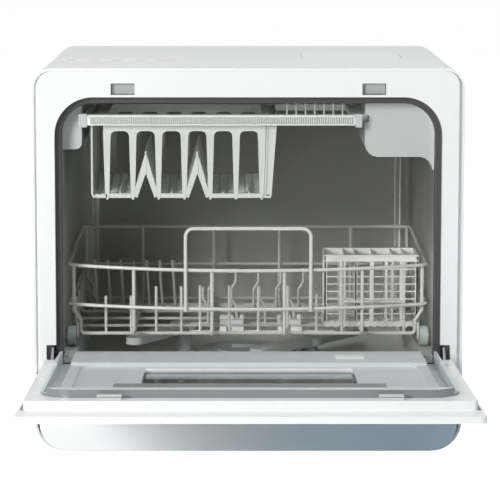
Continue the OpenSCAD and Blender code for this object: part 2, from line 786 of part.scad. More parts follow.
module wash_pump() color("dimgray") machine() difference() {
    union() {
        rod([pump_x0, filter_y, pump_z], [pump_x0 + pump_w, filter_y, pump_z], pump_r);
        rod([pump_x0 + pump_w - seam, filter_y, pump_z], [pump_x0 + pump_w + motor_len, filter_y,
            pump_z], motor_r);
        block([pump_x0 + 34, filter_y - 15, shell_wall], [pump_x0 + 76, filter_y + 15, pump_z - 14]);
        rod([pump_x0 + 12, filter_y, manifold_z], [pump_x0 + 12, manifold_y, manifold_z], 7);
        translate([pump_x0 + 12, manifold_y, manifold_z]) sphere(r = 7.5);
        rod([post_x + manifold_r + weld, manifold_y, manifold_z], [pump_x0 + 12, manifold_y,
            manifold_z], 7);
    }
    rod([pump_x0 + pump_wall, filter_y, pump_z], [pump_x0 + pump_w - pump_wall, filter_y, pump_z],
        pump_r - pump_wall);
    rod([pump_x0 - cut, filter_y, stub_z], [pump_x0 + pump_wall + cut, filter_y, stub_z], stub_bore);
    rod([pump_x0 + pump_w - pump_wall - cut, filter_y, pump_z], [pump_x0 + pump_w + 20, filter_y,
        pump_z], shaft_r + shaft_play);
}

module wash_rotor() color("darkslategray") machine() translate([pump_x0 + pump_wall + rotor_gap,
    filter_y, pump_z]) rotate([0, 90, 0]) {
    rotor_w = pump_w - 2 * pump_wall - 2 * rotor_gap;
    cylinder(r = 7, h = rotor_w);
    cylinder(r = shaft_r, h = pump_w - pump_wall + 14);
    cylinder(r = pump_r - pump_wall - rotor_gap, h = 2);
    for (a = [0 : 60 : 300]) rotate(a) translate([6, -1, 0]) cube([pump_r - pump_wall - rotor_gap - 7,
        2, rotor_w]);
}

drain_w = 20;
drain_tube_x = drain_x - drain_w / 2;
port_z = 52;
port_drain_x = drain_tube_x;
port_in_x = -142;
gland_x = 150;
gland_r = 8;

module drain_pump() color("dimgray") machine() difference() {
    union() {
        rod([drain_x - drain_w, filter_y, pump_z], [drain_x, filter_y, pump_z], drain_r);
        rod([drain_x - drain_w - 40, filter_y, pump_z], [drain_x - drain_w + seam, filter_y, pump_z],
            drain_r - 5);
        block([drain_x - drain_w - 30, filter_y - 10, shell_wall], [drain_x - 4, filter_y + 10,
            pump_z - 8]);
        rod([drain_tube_x, filter_y, port_z], [drain_tube_x, rear_y - 6, port_z], 7);
    }
    rod([drain_x - drain_w + 3, filter_y, pump_z], [drain_x - 3, filter_y, pump_z], drain_r - 3);
    rod([drain_x - 4, filter_y, stub_z], [drain_x + cut, filter_y, stub_z], stub_bore);
}

heater_r = 36;
heater_wire = 3;

module heater() color("silver") machine() translate([0, filter_y, 0]) {
    translate([0, 0, sump_low + sump_wall + 8]) rotate(100) rotate_extrude(angle = 340)
        translate([heater_r, 0]) circle(r = heater_wire);
    for (a = [80, 100]) rotate(a) translate([heater_r, 0, sump_low + sump_wall])
        cylinder(r = heater_wire, h = 8 + heater_wire / 2);
}

fan_z0 = tub_top + tub_wall;
fan_h = 22;
fan_wheel_r = 31;
fan_shaft_r = 2.5;

module fan_housing() color("gainsboro") machine() difference() {
    union() {
        translate([fan_x, fan_y, fan_z0]) cylinder(r = fan_r, h = fan_h);
        block([fan_x - fan_r, fan_y - fan_r - 12, fan_z0], [fan_x - 6, fan_y, fan_z0 + fan_h]);
    }
    translate([fan_x, fan_y, fan_z0 + 2]) cylinder(r = fan_r - 2, h = fan_h - 4);
    block([fan_x - fan_r + 2, fan_y - fan_r - 13, fan_z0 + 2], [fan_x - 8, fan_y, fan_z0 + fan_h - 2]);
    translate([fan_x, fan_y, fan_z0 + fan_h - 3]) cylinder(r = 20, h = 4);
    translate([fan_x, fan_y, fan_z0 - cut]) cylinder(r = fan_shaft_r + shaft_play, h = 4);
}

module fan_wheel() color("dimgray") machine() translate([fan_x, fan_y, fan_z0]) {
    translate([0, 0, 0.4]) cylinder(r = fan_shaft_r, h = 14);
    translate([0, 0, 3.2]) cylinder(r = fan_wheel_r, h = 1.6);
    for (a = [0 : 20 : 340]) rotate(a) translate([fan_wheel_r - 10, -0.8, 4.6]) cube([9.6, 1.6, 11]);
}

// ---- Controls, ports and lid ----

panel_x0 = panel_x - cab_x;
panel_play = 0.3;
board_gap = 6;
board_t = 1.6;

module control_panel() color("white") machine() {
    block([panel_x0 + panel_play, panel_y + panel_play, cab_h - shell_wall - seam],
        [panel_x0 + panel_w - panel_play, panel_y + panel_d - panel_play, cab_h]);
    block([panel_x0 + 1, panel_y - 4, cab_h - shell_wall - 1.5],
        [panel_x0 + panel_w + 4, panel_y + panel_d + 4, cab_h - shell_wall]);
    for (x = [panel_x0 + 6, panel_x0 + panel_w - 6], y = [panel_y + 5, panel_y + panel_d - 5])
        translate([x, y, cab_h - shell_wall - 1.5 - board_gap]) cylinder(r = 2, h = board_gap + seam);
}

module control_board() color("seagreen") machine()
    block([panel_x0 + 2, panel_y + 1, cab_h - shell_wall - 1.5 - board_gap - board_t],
        [panel_x0 + panel_w - 2, panel_y + panel_d - 1, cab_h - shell_wall - 1.5 - board_gap]);

port_neck = 1;                                  // how much thinner a port is where it passes the rear panel
port_collar = 2;

// A hose port: flange inside, neck through the rear panel, collar and spigot outside
module port_body(x, r, bore) difference() {
    union() {
        rod([x, rear_y - 6, port_z], [x, rear_y, port_z], r + 4);
        rod([x, rear_y - 1, port_z], [x, cab_d + 1, port_z], r - port_neck);
        rod([x, cab_d, port_z], [x, cab_d + port_collar, port_z], r + 2.5);
        rod([x, cab_d + 1, port_z], [x, rear_reach, port_z], r);
    }
    rod([x, rear_y - 7, port_z], [x, rear_reach + cut, port_z], bore);
}

riser_z = 126;

module water_ports() color("darkgray") machine() {
    port_body(port_in_x, inlet_r, 6);
    port_body(port_drain_x, drain_port_r, 6);
    rod([port_in_x, rear_y - 14, port_z], [port_in_x, rear_y - 5, port_z], 9);
    rod([port_in_x, rear_y - 14, port_z], [port_in_x, rear_y - 14, riser_z], 6);
    translate([port_in_x, rear_y - 14, riser_z]) sphere(r = 6);
    rod([port_in_x, tub_back + tub_wall, riser_z], [port_in_x, rear_y - 14, riser_z], 6);
}

module cord_gland() color("dimgray") machine() difference() {
    union() {
        rod([gland_x, rear_y - 8, port_z], [gland_x, cab_d + 6, port_z], gland_r);
        rod([gland_x, cab_d, port_z], [gland_x, cab_d + 2.5, port_z], gland_r + 3);
    }
    rod([gland_x, rear_y - 9, port_z], [gland_x, cab_d + 7, port_z], 3.5);
}

module filler_lid() color("white") machine() {
    block([lid_x, lid_y, cab_h - 2.6], [lid_x1, lid_axis_y, cab_h]);
    rod([lid_x, lid_axis_y, lid_axis_z], [lid_x1, lid_axis_y, lid_axis_z], lid_axis_r);
    rod([lid_x - 3.2, lid_axis_y, lid_axis_z], [lid_x1 + 3.2, lid_axis_y, lid_axis_z], lid_pin_r);
}

// ---- Latches and hinges ----

housing_y1 = fascia_t + 12 + latch_travel;

module latch_housings() color("lightgray") machine() both_sides() difference() {
    block([latch_x - latch_w / 2 - 3.5, fascia_t, gasket_top + 0.3], [latch_x + latch_w / 2 + 3.5,
        housing_y1, latch_z + latch_h / 2 + 4]);
    block([latch_x - latch_w / 2 + 0.1, fascia_t - cut, latch_z - latch_h / 2 + 0.2],
        [latch_x + latch_w / 2 - 0.1, housing_y1 - 2, latch_z + latch_h / 2 - 0.2]);
}

module latch_catch(s) color("darkgray") machine()
    block([s * latch_x - latch_w / 2 + 0.1 + latch_play, fascia_t - 2.5,
        latch_z - latch_h / 2 + 0.2 + latch_play],
        [s * latch_x + latch_w / 2 - 0.1 - latch_play, fascia_t + 8.5,
            latch_z + latch_h / 2 - 0.2 - latch_play]);

module latch_catch_left() latch_catch(-1);
module latch_catch_right() latch_catch(1);

module hinge_brackets() color("silver") machine() both_sides() difference() {
    union() {
        rod([ear_x, hinge_y, hinge_z], [ear_x + hinge_ear_t, hinge_y, hinge_z], hinge_ear_r);
        along_x(ear_x, ear_x + hinge_ear_t) polygon([[hinge_y, hinge_z - 0.8], [fascia_t, hinge_z - 0.8],
            [fascia_t, hinge_z + 15], [-1, hinge_z + 15], [hinge_y - 3.2, hinge_z + 3.8]]);
        block([ear_x, fascia_t, hinge_z - 3], [shell_in - 4, fascia_t + 2, hinge_z + 34]);
    }
    rod([ear_x - cut, hinge_y, hinge_z], [ear_x + hinge_ear_t + cut, hinge_y, hinge_z],
        hinge_pin_r + hinge_play);
}

pocket_u = 26;
pin_len = frame_x - arm_x - 0.6;

module hinge_arms() color("silver") door() both_sides() difference() {
    union() {
        rod([arm_x, 0, 0], [arm_x + hinge_arm_t, 0, 0], hinge_ear_r - 0.6);
        block([arm_x, -hinge_ear_r + 0.6, 0], [arm_x + hinge_arm_t, hinge_ear_r - 0.6, pocket_u]);
    }
    rod([arm_x - cut, 0, 0], [arm_x + hinge_arm_t + cut, 0, 0], hinge_pin_r);
}

module hinge_pins() color("silver") door() both_sides() {
    rod([arm_x, 0, 0], [arm_x + pin_len, 0, 0], hinge_pin_r);
    rod([ear_x + hinge_ear_t + 0.3, 0, 0], [arm_x + pin_len, 0, 0], hinge_pin_r + 1.5);
}

// ---- Door ----

door_r = 6;
screw_boss_r = 4;
door_screw_at = [for (s = [-1, 1], u = [60, 150, 235]) [s * (frame_x - 6), u]];

module window_hole(v0, v1, grow) along_y(v0, v1)
    rounded(-window_w / 2 - grow, window_u - grow, window_w / 2 + grow, window_u + window_h + grow,
        window_r + grow);

module hinge_pocket(v0, v1, u0) both_sides() block([arm_x, v0, u0], [frame_x + 2.5, v1, pocket_u]);

module door_outer_panel() color("white") door() difference() {
    union() {
        difference() {
            along_y(-door_face, pan_v) panel(door_x, -door_low, grip_u, door_r, 3);
            along_y(skin_v, pan_v + cut) panel(door_x - 2, 2 - door_low, frame_u - 3, 2, 2);
        }
        for (p = door_screw_at) rod([p.x, skin_v - seam, p.y], [p.x, pan_v, p.y], screw_boss_r);
    }
    window_hole(-door_face - cut, skin_v + cut, 0);
    hinge_pocket(skin_v, pan_v + cut, -door_low - cut);
    for (p = door_screw_at) rod([p.x, skin_v + 0.4, p.y], [p.x, pan_v + cut, p.y], screw_r + screw_play);
}

module door_inner_frame() color("whitesmoke") door() difference() {
    along_y(pan_v, rim_plane) panel(frame_x, -1, frame_u, 5, 2);
    along_y(pan_v - cut, rim_plane + cut) panel(liner_x, -3, liner_u1, liner_r, 2);
    hinge_pocket(pan_v - cut, rim_plane + cut, -2);
    for (p = door_screw_at) {
        rod([p.x, pan_v - cut, p.y], [p.x, rim_plane + cut, p.y], screw_r + screw_play);
        rod([p.x, rim_plane - 2, p.y], [p.x, rim_plane + cut, p.y], 3.4);
    }
}

module door_screws() color("silver") door() for (p = door_screw_at) {
    rod([p.x, rim_plane - 2, p.y], [p.x, rim_plane - 0.4, p.y], 3.1);
    rod([p.x, skin_v + 1, p.y], [p.x, rim_plane - 2 + seam, p.y], screw_r);
}

groove_in = rail_in;
groove_out = liner_x - 3;
groove_u1 = 240;

liner_v0 = -groove_v - liner_t;
liner_u0 = -1.5;

// The liner's outer form: side bands, a higher band at each end, a sunk middle and the wheel grooves
module liner_form() difference() {
    union() {
        along_y(liner_v0, side_v) panel(liner_x, liner_u0, liner_u1, liner_r, 2);
        along_y(liner_v0, rim_v) intersection() {
            panel(liner_x, liner_u0, liner_u1, liner_r, 2);
            translate([-liner_x, recess_u1]) square([2 * liner_x, 20]);
        }
        along_y(liner_v0, band_v) translate([-liner_x, liner_u0]) square([2 * liner_x,
            recess_u - liner_u0]);
    }
    along_y(recess_v, rim_v + cut) rounded(-recess_x, recess_u, recess_x, recess_u1, 14);
    both_sides() along_y(-groove_v, rim_v + cut)
        translate([groove_in, liner_u0 - cut]) square([groove_out - groove_in, groove_u1 - liner_u0 + cut]);
}

// The skin that stays under each of its surfaces
module liner_skin() {
    both_sides() block([groove_in - liner_t, liner_v0 - 2, liner_u0 - cut], [liner_x, side_v,
        groove_u1 + liner_t]);
    along_y(side_v - liner_t, rim_v + cut) difference() {
        panel(liner_x, liner_u0 - cut, liner_u1 + 1, liner_r, 2);
        translate([-recess_x, recess_u]) square([2 * recess_x, recess_u1 - recess_u]);
    }
    along_y(recess_v - liner_t, recess_v + cut) translate([-recess_x - liner_t, recess_u - liner_t])
        square([2 * (recess_x + liner_t), recess_u1 - recess_u + 2 * liner_t]);
}

module door_liner() color("gainsboro") door() difference() {
    liner_form();
    difference() {
        along_y(liner_v0 - cut, rim_v) panel(liner_x - liner_t, liner_u0 + liner_t, liner_u1 - liner_t,
            liner_r - liner_t, 2);
        liner_skin();
    }
    window_hole(recess_v - 6, recess_v + cut, 0);
}

module window_panes() color("dimgray", 0.5) door() for (v = [skin_v, recess_v - liner_t - pane_t])
    window_hole(v, v + pane_t, seal_lap - 0.5);

module window_seal() color("darkslategray") door() difference() {
    window_hole(skin_v + pane_t, recess_v - liner_t - pane_t, seal_lap);
    window_hole(skin_v, recess_v, 0);
}

strip_u0 = window_u + window_h + 1;

module drip_strip() color("slategray") door()
    along_y(recess_v, recess_v + strip_t) rounded(-strip_w / 2, strip_u0, strip_w / 2,
        strip_u0 + strip_h, 3);

strike_w = latch_w - 1.6;

module latch_strikes() color("lightgray") door() both_sides() {
    block([latch_x - strike_w / 2, rim_plane, latch_u - 4], [latch_x + strike_w / 2, rim_plane + 2.4,
        latch_u + 3.6]);
    block([latch_x - strike_w / 2, rim_plane, latch_u - 1.5], [latch_x + strike_w / 2, rim_plane + 4.9,
        latch_u + 1.5]);
    block([latch_x - strike_w / 2, rim_plane + 3, latch_u - 1.5], [latch_x + strike_w / 2,
        rim_plane + 4.9, latch_u + 3]);
}

module liner_tab() color("white") door()
    along_y(band_v, band_v + 1.2) rounded(83, 28, 111, 49, 2);

module wheel_stops() color("darkgray") door() both_sides() difference() {
    block([groove_in + 0.5, -groove_v, 190], [groove_out - 0.5, 5, 200]);
    block([groove_in + 3, 1.5, 189], [groove_out - 3, 6, 201]);
}

// ---- Lower rack ----

// Front bow of a rail: half-width w, front middle at y0, depth of the bow, bend radius br
function bow_r(w, bow) = (w * w + bow * bow) / (2 * bow);
function bow_y(x, w, bow) = bow_r(w, bow) - sqrt(pow(bow_r(w, bow), 2) - x * x);

rack_bend = 8;
post_step_z = 127;
rail_slope = tan(rack_rise);
back_top = rack_top + (rack_back - rack_front) * rail_slope;
rack_low_x = rack_x - side_step - 2;
rise_x = rack_x - wire_d - 0.4;
fine_rise_x = rack_x - (wire_d + fine_d) / 2 - weld;
long_z = rack_floor + (fine_d + wire_d) / 2 + weld;
end_z = rack_floor - (wire_d - fine_d) / 2;

// A bowed front with its two corner bends, and its sides as far as y1
module bow_rail(w, y0, bow, br, y1, d) {
    big = bow_r(w, bow);
    half = asin((w - br) / (big - br));
    fy = y0 + big - sqrt(pow(big - br, 2) - pow(w - br, 2));
    short = knuckle / 2 / big * 180 / PI;
    short_br = knuckle / 2 / br * 180 / PI;
    translate([0, y0 + big, 0]) rotate(-90 - half + short) rotate_extrude(angle = 2 * (half - short),
        $fn = 240)
        translate([big, 0]) circle(r = d / 2, $fn = 32);
    both_sides() {
        translate([w - br, fy, 0]) {
            rotate(-90 + half + short_br) rotate_extrude(angle = 90 - half - 2 * short_br)
                translate([br, 0]) circle(r = d / 2);
            rotate(-90 + half) translate([br, 0, 0]) sphere(r = d / 2 + knuckle / 4);
            translate([br, 0, 0]) sphere(r = d / 2 + knuckle / 4);
        }
        rod([w, fy + knuckle / 2, 0], [w, y1, 0], d / 2);
    }
}

function rail_z(y) = rack_top + (y - rack_front) * rail_slope;
floor_wire_y = [for (i = [0 : floor_n - 1]) floor_y0 + i * (rack_back - 10 - floor_y0) / (floor_n - 1)];
rail_back_y = rack_front + (rack_back - rack_front) * cos(rack_rise);
rear_wire_y = rail_back_y - wire_d - weld;

module rack_wires() {
    // top rail, rising to the back
    translate([0, rack_front, rack_top]) rotate([rack_rise, 0, 0]) translate([0, -rack_front, 0]) {
        bow_rail(rack_x, rack_front, rack_bow, rack_bend, rack_back - rack_bend - knuckle, wire_d);
        both_sides() translate([rack_x, rack_back - rack_bend - knuckle / 2, 0])
            sphere(r = wire_d / 2 + knuckle / 4);
        rotate([-90, 0, 0]) wire_xz([[-rack_x, rack_back - rack_bend], [-rack_x, rack_back], [rack_x,
            rack_back],
            [rack_x, rack_back - rack_bend]], 0, rack_bend - seam, wire_d);
    }
    // lower rail along the front and the sides, and the one along the back
    translate([0, 0, rack_mid]) bow_rail(rack_x, rack_front, rack_bow, rack_bend, rack_back - 6, wire_d);
    rod([-rack_x + rack_bend, rail_back_y, rack_mid + 6], [rack_x - rack_bend, rail_back_y,
        rack_mid + 6], wire_d / 2);
    // end floor wires, drawn in over the wheels
    for (y = [floor_wire_y[0], floor_wire_y[floor_n - 1]])
        wire_xz([[-rise_x, rail_z(y)], [-rise_x, post_step_z + 5], [-rack_low_x, post_step_z - 5],
            [-rack_low_x, end_z],
            [rack_low_x, end_z], [rack_low_x, post_step_z - 5], [rise_x, post_step_z + 5], [rise_x,
                rail_z(y)]], y, 4, wire_d);
    // floor wires between them, turned up at their ends
    for (i = [1 : floor_n - 2])
        wire_xz([[-fine_rise_x, rack_mid], [-fine_rise_x, rack_floor], [fine_rise_x, rack_floor],
            [fine_rise_x, rack_mid]],
            floor_wire_y[i], 4, fine_d);
    // lengthwise wires, up the front and the back
    for (x = [-long_out, -long_in, long_in, long_out]) {
        big = bow_r(rack_x, rack_bow);
        yf = rack_front + big - sqrt(pow(big - wire_d - weld, 2) - x * x);
        wire_yz([[yf, rail_z(yf)], [yf, long_z], [rear_wire_y, long_z], [rear_wire_y, back_top]], x, 5,
            wire_d);
    }
}

module rack_frame() color("gainsboro") machine() rack_wires();

handle_y = rack_front + bow_y(handle_w / 2, rack_x, rack_bow) - wire_d - 0.05;

module rack_handle() color("gainsboro") machine()
    wire_xz([[-handle_w / 2, rack_mid - 2], [-handle_w / 2, handle_top], [handle_w / 2, handle_top],
        [handle_w / 2, rack_mid - 2]],
        handle_y, 8, wire_d);

tine_y = 201;
tine_rail_z = rack_floor;
kink_x = 5;
hoop_top = 140;
front_tines = [for (i = [0 : 3]) -141.8 + i * 25.1];
middle_tines = [for (i = [0 : 4]) -40.6 + i * 23.9];
front_fixed_y = floor_y0 + (fine_d + wire_d) / 2 + weld;

module fixed_tines() color("gainsboro") machine() {
    // left rear row, leaning to the left, on the wire that carries both rear rows
    for (i = [0 : 6]) {
        x = -161.8 + i * tine_pitch;
        rod([x + 3, tine_y, tine_rail_z], [x, tine_y, tine_top], fine_d / 2);
    }
    rod([-164, tine_y + fine_d + weld, tine_rail_z], [70, tine_y + fine_d + weld, tine_rail_z], fine_d / 2);
    // middle rear row, with a kink halfway up
    for (x = middle_tines) wire_xz([[x, tine_rail_z], [x, 128], [x + kink_x, 136], [x + kink_x,
        tine_top - 9]], tine_y, 3, fine_d);
    // front row at the left, against the first floor wire
    for (i = [0 : 3]) rod([front_tines[i], front_fixed_y, rack_floor - 1], [front_tines[i],
        front_fixed_y, i < 2 ? 146 : fold_top], fine_d / 2);
    // hoop in front of the basket
    wire_xz([[94, rack_floor - 1], [94, hoop_top], [156, hoop_top], [156, rack_floor - 1]],
        front_fixed_y, 5, fine_d);
}

wheel_ys = [floor_wire_y[0] - 4, floor_wire_y[floor_n - 1] - 4];
hanger_x = rack_low_x + wire_d / 2;
hanger_t = 1.9;

module wheel_pins() color("gainsboro") machine() both_sides() for (y = wheel_ys) {
    // sheet hanger on the outer side of the end wire
    along_x(hanger_x, hanger_x + hanger_t) {
        translate([y, wheel_z]) circle(r = 4);
        polygon([[y - 3.6, wheel_z + 1.5], [y + 4, wheel_z - 1], [y + 6, post_step_z - 7], [y + 1.5,
            post_step_z - 7]]);
    }
    rod([hanger_x + hanger_t / 2, y, wheel_z], [wheel_x + wheel_w + 1.4, y, wheel_z], wheel_pin_r);
    rod([wheel_x + wheel_w + 0.4, y, wheel_z], [wheel_x + wheel_w + 1.4, y, wheel_z], wheel_pin_r + 1.2);
}

module wheel(s, y) color("whitesmoke") machine() difference() {
    translate([s * (wheel_x + wheel_w / 2), y, wheel_z]) rotate([0, 90, 0]) translate([0, 0,
        -wheel_w / 2]) cylinder(r = wheel_r, h = wheel_w);
    translate([s * (wheel_x + wheel_w / 2), y, wheel_z]) rotate([0, 90, 0]) {
        translate([0, 0, -wheel_w]) cylinder(r = wheel_pin_r + wheel_play, h = 2 * wheel_w);
        for (a = [0 : 60 : 300]) rotate(a) translate([6.4, 0, -wheel_w]) cylinder(r = 1.4, h = 2 * wheel_w);
    }
}

module wheel_front_left() wheel(-1, wheel_ys[0]);
module wheel_front_right() wheel(1, wheel_ys[0]);
module wheel_rear_left() wheel(-1, wheel_ys[1]);
module wheel_rear_right() wheel(1, wheel_ys[1]);

// ---- Folding tines ----

clip_at = [-16.2, -16.2 + 2 * fold_pitch];
fold_play = 0.05;
clip_low = 105.4;
clip_top = 118;

module fold_bore(y) rod([-70, y, fold_z], [100, y, fold_z], fold_r + fold_play);

module tine_clips() color("white") machine() difference() {
    for (c = clip_at) {
        block([c - clip_w / 2, fold_y - 5, clip_low], [c + clip_w / 2, fold_y + fold_step + 5,
            clip_low + 1.3]);
        for (k = [[c - clip_w / 2, c - 5.4], [c + 0.6, c + clip_w / 2]])
            block([k.x, fold_y - 5, clip_low], [k.y, fold_y + 4, clip_low + 9]);
        for (k = [[c - clip_w / 2, c + 1.6], [c + 8.2, c + clip_w / 2]])
            block([k.x, fold_y + fold_step - 5, clip_low], [k.y, fold_y + fold_step + 4, clip_top]);
        block([c - clip_w / 2, floor_y0 + 42, clip_low], [c + clip_w / 2, fold_y + fold_step - 4,
            clip_low + 9]);
    }
    fold_bore(fold_y);
    fold_bore(fold_y + fold_step);
    rack_wire_cut();
}

// The rack's wires run through the clips
module rack_wire_cut() {
    for (y = floor_wire_y) rod([-70, y, rack_floor], [100, y, rack_floor], fine_d / 2);
    both_sides() block([long_in - wire_d / 2 - 0.1, 0, long_z - wire_d / 2],
        [long_in + wire_d / 2 + 0.1, rack_back, long_z + 20]);
}

module tine_row_front() color("gainsboro") machine() {
    rod([-58, fold_y, fold_z], [88, fold_y, fold_z], fold_r);
    for (i = [0 : 4]) rod([-47.9 + i * fold_pitch, fold_y, fold_z],
        [-47.9 + i * fold_pitch, fold_y, i == 4 ? fold_top - 9 : fold_top], fold_r);
}

module tine_row_back() color("gainsboro") machine() {
    y = fold_y + fold_step;
    rod([-58, y, fold_z], [72, y, fold_z], fold_r);
    for (i = [0 : 3]) {
        x = -40.5 + i * fold_pitch;
        wire_xz([[x, fold_z], [x, 127], [x - 5, 134], [x - 5, 146]], y, 4, 2 * fold_r);
    }
}

// ---- Cutlery basket ----

basket_floor = long_z + wire_d / 2 + 0.3;
basket_low = rack_floor + fine_d / 2 + 0.5;
basket_x1 = basket_x + basket_w;
basket_rooms = 3;
basket_rim = 7;
basket_y1 = basket_y + basket_d;

module cutlery_basket() color("whitesmoke") machine() difference() {
    block([basket_x, basket_y, basket_low], [basket_x1, basket_y1, basket_top]);
    // compartments between the dividers
    room_w = (basket_w - basket_wall) / basket_rooms - basket_wall;
    for (i = [0 : basket_rooms - 1]) translate([basket_x + basket_wall + i * (room_w + basket_wall),
        basket_y + basket_wall,
        basket_floor + basket_wall]) cube([room_w, basket_d - 2 * basket_wall, basket_top]);
    // lattice, cut through from front to back and from side to side
    row_h = (basket_top - basket_rim - basket_floor - 3) / basket_rows;
    col_w = (basket_w - basket_wall) / basket_cols;
    side_n = floor((basket_d - basket_wall) / col_w);
    side_w = (basket_d - basket_wall) / side_n;
    for (k = [0 : basket_rows - 1]) {
        z = basket_floor + 3 + k * row_h;
        for (i = [0 : basket_cols - 1]) translate([basket_x + basket_wall + i * col_w, basket_y - cut, z])
            cube([col_w - basket_wall, basket_d + 2 * cut, row_h - basket_wall]);
        for (j = [0 : side_n - 1]) translate([basket_x - cut, basket_y + basket_wall + j * side_w, z])
            cube([basket_w + 2 * cut, side_w - basket_wall, row_h - basket_wall]);
    }
    // room for the rack's wires under the floor
    block([basket_x + basket_wall, basket_y + basket_wall, basket_low - cut], [basket_x1 - basket_wall,
        basket_y1 - basket_wall, basket_floor]);
    block([long_out - 4, basket_y - cut, basket_low - cut], [long_out + 4, basket_y1 + cut, basket_floor]);
}

// ---- Upper tray ----

tongue_h = 6;
tongue_z = tray_z + 2.6;
cover_left_x = tub_x - bracket_w;
cover_right_x = tub_x - duct_w;
groove_depth = 3.5;
tray_back = tray_y + tray_t + tray_d;
comb_n = 7;
comb_pitch = 9.1;

module upper_tray() color("whitesmoke") machine() {
    along_y(tray_y, tray_y + tray_t) rounded(tray_x0, tray_z, tray_x1, tray_z + tray_h, 1.5);
    // side arms with tongues that run in the covers' grooves
    block([tray_x0, tray_y + 2, tongue_z], [tray_x0 + 3, tray_back, tongue_z + tongue_h]);
    block([tray_x1 - 3, tray_y + 2, tongue_z], [tray_x1, tray_back, tongue_z + tongue_h]);
    block([-cover_left_x - groove_depth + slide_gap, cover_y + 8, tongue_z], [tray_x0 + 1, tray_back,
        tongue_z + tongue_h]);
    block([tray_x1 - 1, cover_y + 8, tongue_z], [cover_right_x + groove_depth - slide_gap, tray_back,
        tongue_z + tongue_h]);
    block([tray_x0, tray_back - 4, tongue_z], [tray_x1, tray_back, tongue_z + tongue_h]);
    // small upright pegs behind the rail at the right
    block([tray_x1 - 74, tray_y + 26, tongue_z], [tray_x1, tray_y + 29, tongue_z + 4]);
    for (i = [1 : comb_n]) translate([tray_x1 - 2.7 - i * comb_pitch, tray_y + 26.7, tongue_z + 3])
        cube([1.3, 1.6, tray_h + 5]);
}

module tray_clips() color("white") machine() for (c = [[tray_x0 - 8.5, tray_x0], [tray_x1,
    tray_x1 + 7]]) difference() {
    block([c.x, tray_y - 1, tray_z - 2], [c.y, tray_y + 10, tray_z + tray_h + 1]);
    block([c.x - cut, tray_y + 4, tongue_z - 1], [c.y + cut, tray_y + 11, tongue_z + tongue_h + 1]);
}

shelf_y0 = tray_y + tray_t;
shelf_y1 = tray_back - 4;
shelf_top = tray_z + tray_h - 1;
leg_x = [for (i = [0 : leg_n - 1]) tray_x0 + leg_in + i * leg_pitch];
arch_top = tray_z - 5;
floor_z = shelf_low + 3.6;
ridge_bays = [1, 3];

// Front comb seen from the front: a band with tapering legs
module comb(low) {
    translate([leg_x[0] - leg_top_w / 2, arch_top]) square([leg_x[leg_n - 1] - leg_x[0] + leg_top_w,
        shelf_top - arch_top]);
    for (x = leg_x) polygon([[x - leg_top_w / 2 - 1.4, arch_top + 0.01], [x - leg_top_w / 2,
        arch_top - 5], [x - leg_low_w / 2, floor_z + 2],
        [x - 0.9, low], [x + 0.9, low], [x + leg_low_w / 2, floor_z + 2], [x + leg_top_w / 2,
            arch_top - 5], [x + leg_top_w / 2 + 1.4, arch_top + 0.01]]);
}

// Floor of one bay from x0 to x1: flat, or folded up to a ridge
module bay(x0, x1, ridge) {
    mid = (x0 + x1) / 2;
    top = shelf_low + ridge_h;
    if (ridge) polygon([[x0 - 1, floor_z - shelf_t], [x0 - 1, floor_z], [x0, floor_z], [mid, top], [x1,
        floor_z], [x1 + 1, floor_z],
        [x1 + 1, floor_z - shelf_t], [x1 - 4.4, floor_z - shelf_t], [mid, top - 23], [x0 + 4.4,
            floor_z - shelf_t]]);
    else translate([x0, floor_z - shelf_t]) square([x1 - x0, shelf_t + 0.6]);
}

end_x = tray_x0 + 3;
flap_x = leg_x[leg_n - 1] + 5;

module glass_shelf() color("whitesmoke") machine() {
    difference() {
        union() {
            along_y(shelf_y0, shelf_y0 + shelf_t + 1) comb(shelf_low);
            along_y(shelf_y1 - shelf_t, shelf_y1) comb(floor_z);
            along_y(shelf_y0, shelf_y1) {
                for (i = [0 : leg_n - 2]) bay(leg_x[i], leg_x[i + 1],
                    i == ridge_bays[0] || i == ridge_bays[1]);
                translate([end_x, floor_z - shelf_t]) square([leg_x[0] - end_x, shelf_t + 0.6]);
                translate([end_x, floor_z - shelf_t]) square([shelf_t, shelf_top - floor_z + shelf_t]);
                translate([flap_x, floor_z - shelf_t]) square([shelf_t, shelf_top - floor_z + shelf_t]);
                translate([leg_x[leg_n - 1], floor_z - shelf_t])
                    square([flap_x - leg_x[leg_n - 1] + seam, shelf_t + 0.6]);
                translate([end_x, shelf_top - 3]) square([leg_x[0] - end_x, 3]);
                translate([leg_x[leg_n - 1], shelf_top - 3]) square([flap_x - leg_x[leg_n - 1] + seam, 3]);
            }
        }
        // drain slots in the flat floors
        for (i = [0 : leg_n - 2], k = [0 : 5]) if (i != ridge_bays[0] && i != ridge_bays[1])
            block([leg_x[i] + 5, shelf_y0 + 14 + k * 18, floor_z - 5], [leg_x[i + 1] - 5,
                shelf_y0 + 20 + k * 18, floor_z + 4]);
        // room for the tray's back bar
        block([tray_x0, tray_back - 4 - cut, tongue_z - 0.2], [tray_x1, tray_back + cut, shelf_top + cut]);
    }
}

// ---- Covers that carry the tray ----

groove_z = [tongue_z - slide_gap, tongue_z + tongue_h + slide_gap];
cover_wall = 2;

module cover_outline(x_in, low, r) intersection() {
    panel(tub_x, tub_floor, tub_top, tub_r, tub_floor_r);
    union() {
        translate([x_in + r, low]) square([tub_x - x_in, tub_top - low]);
        translate([x_in, low + r]) square([tub_x - x_in, tub_top - low]);
        translate([x_in + r, low + r]) circle(r = r);
    }
}

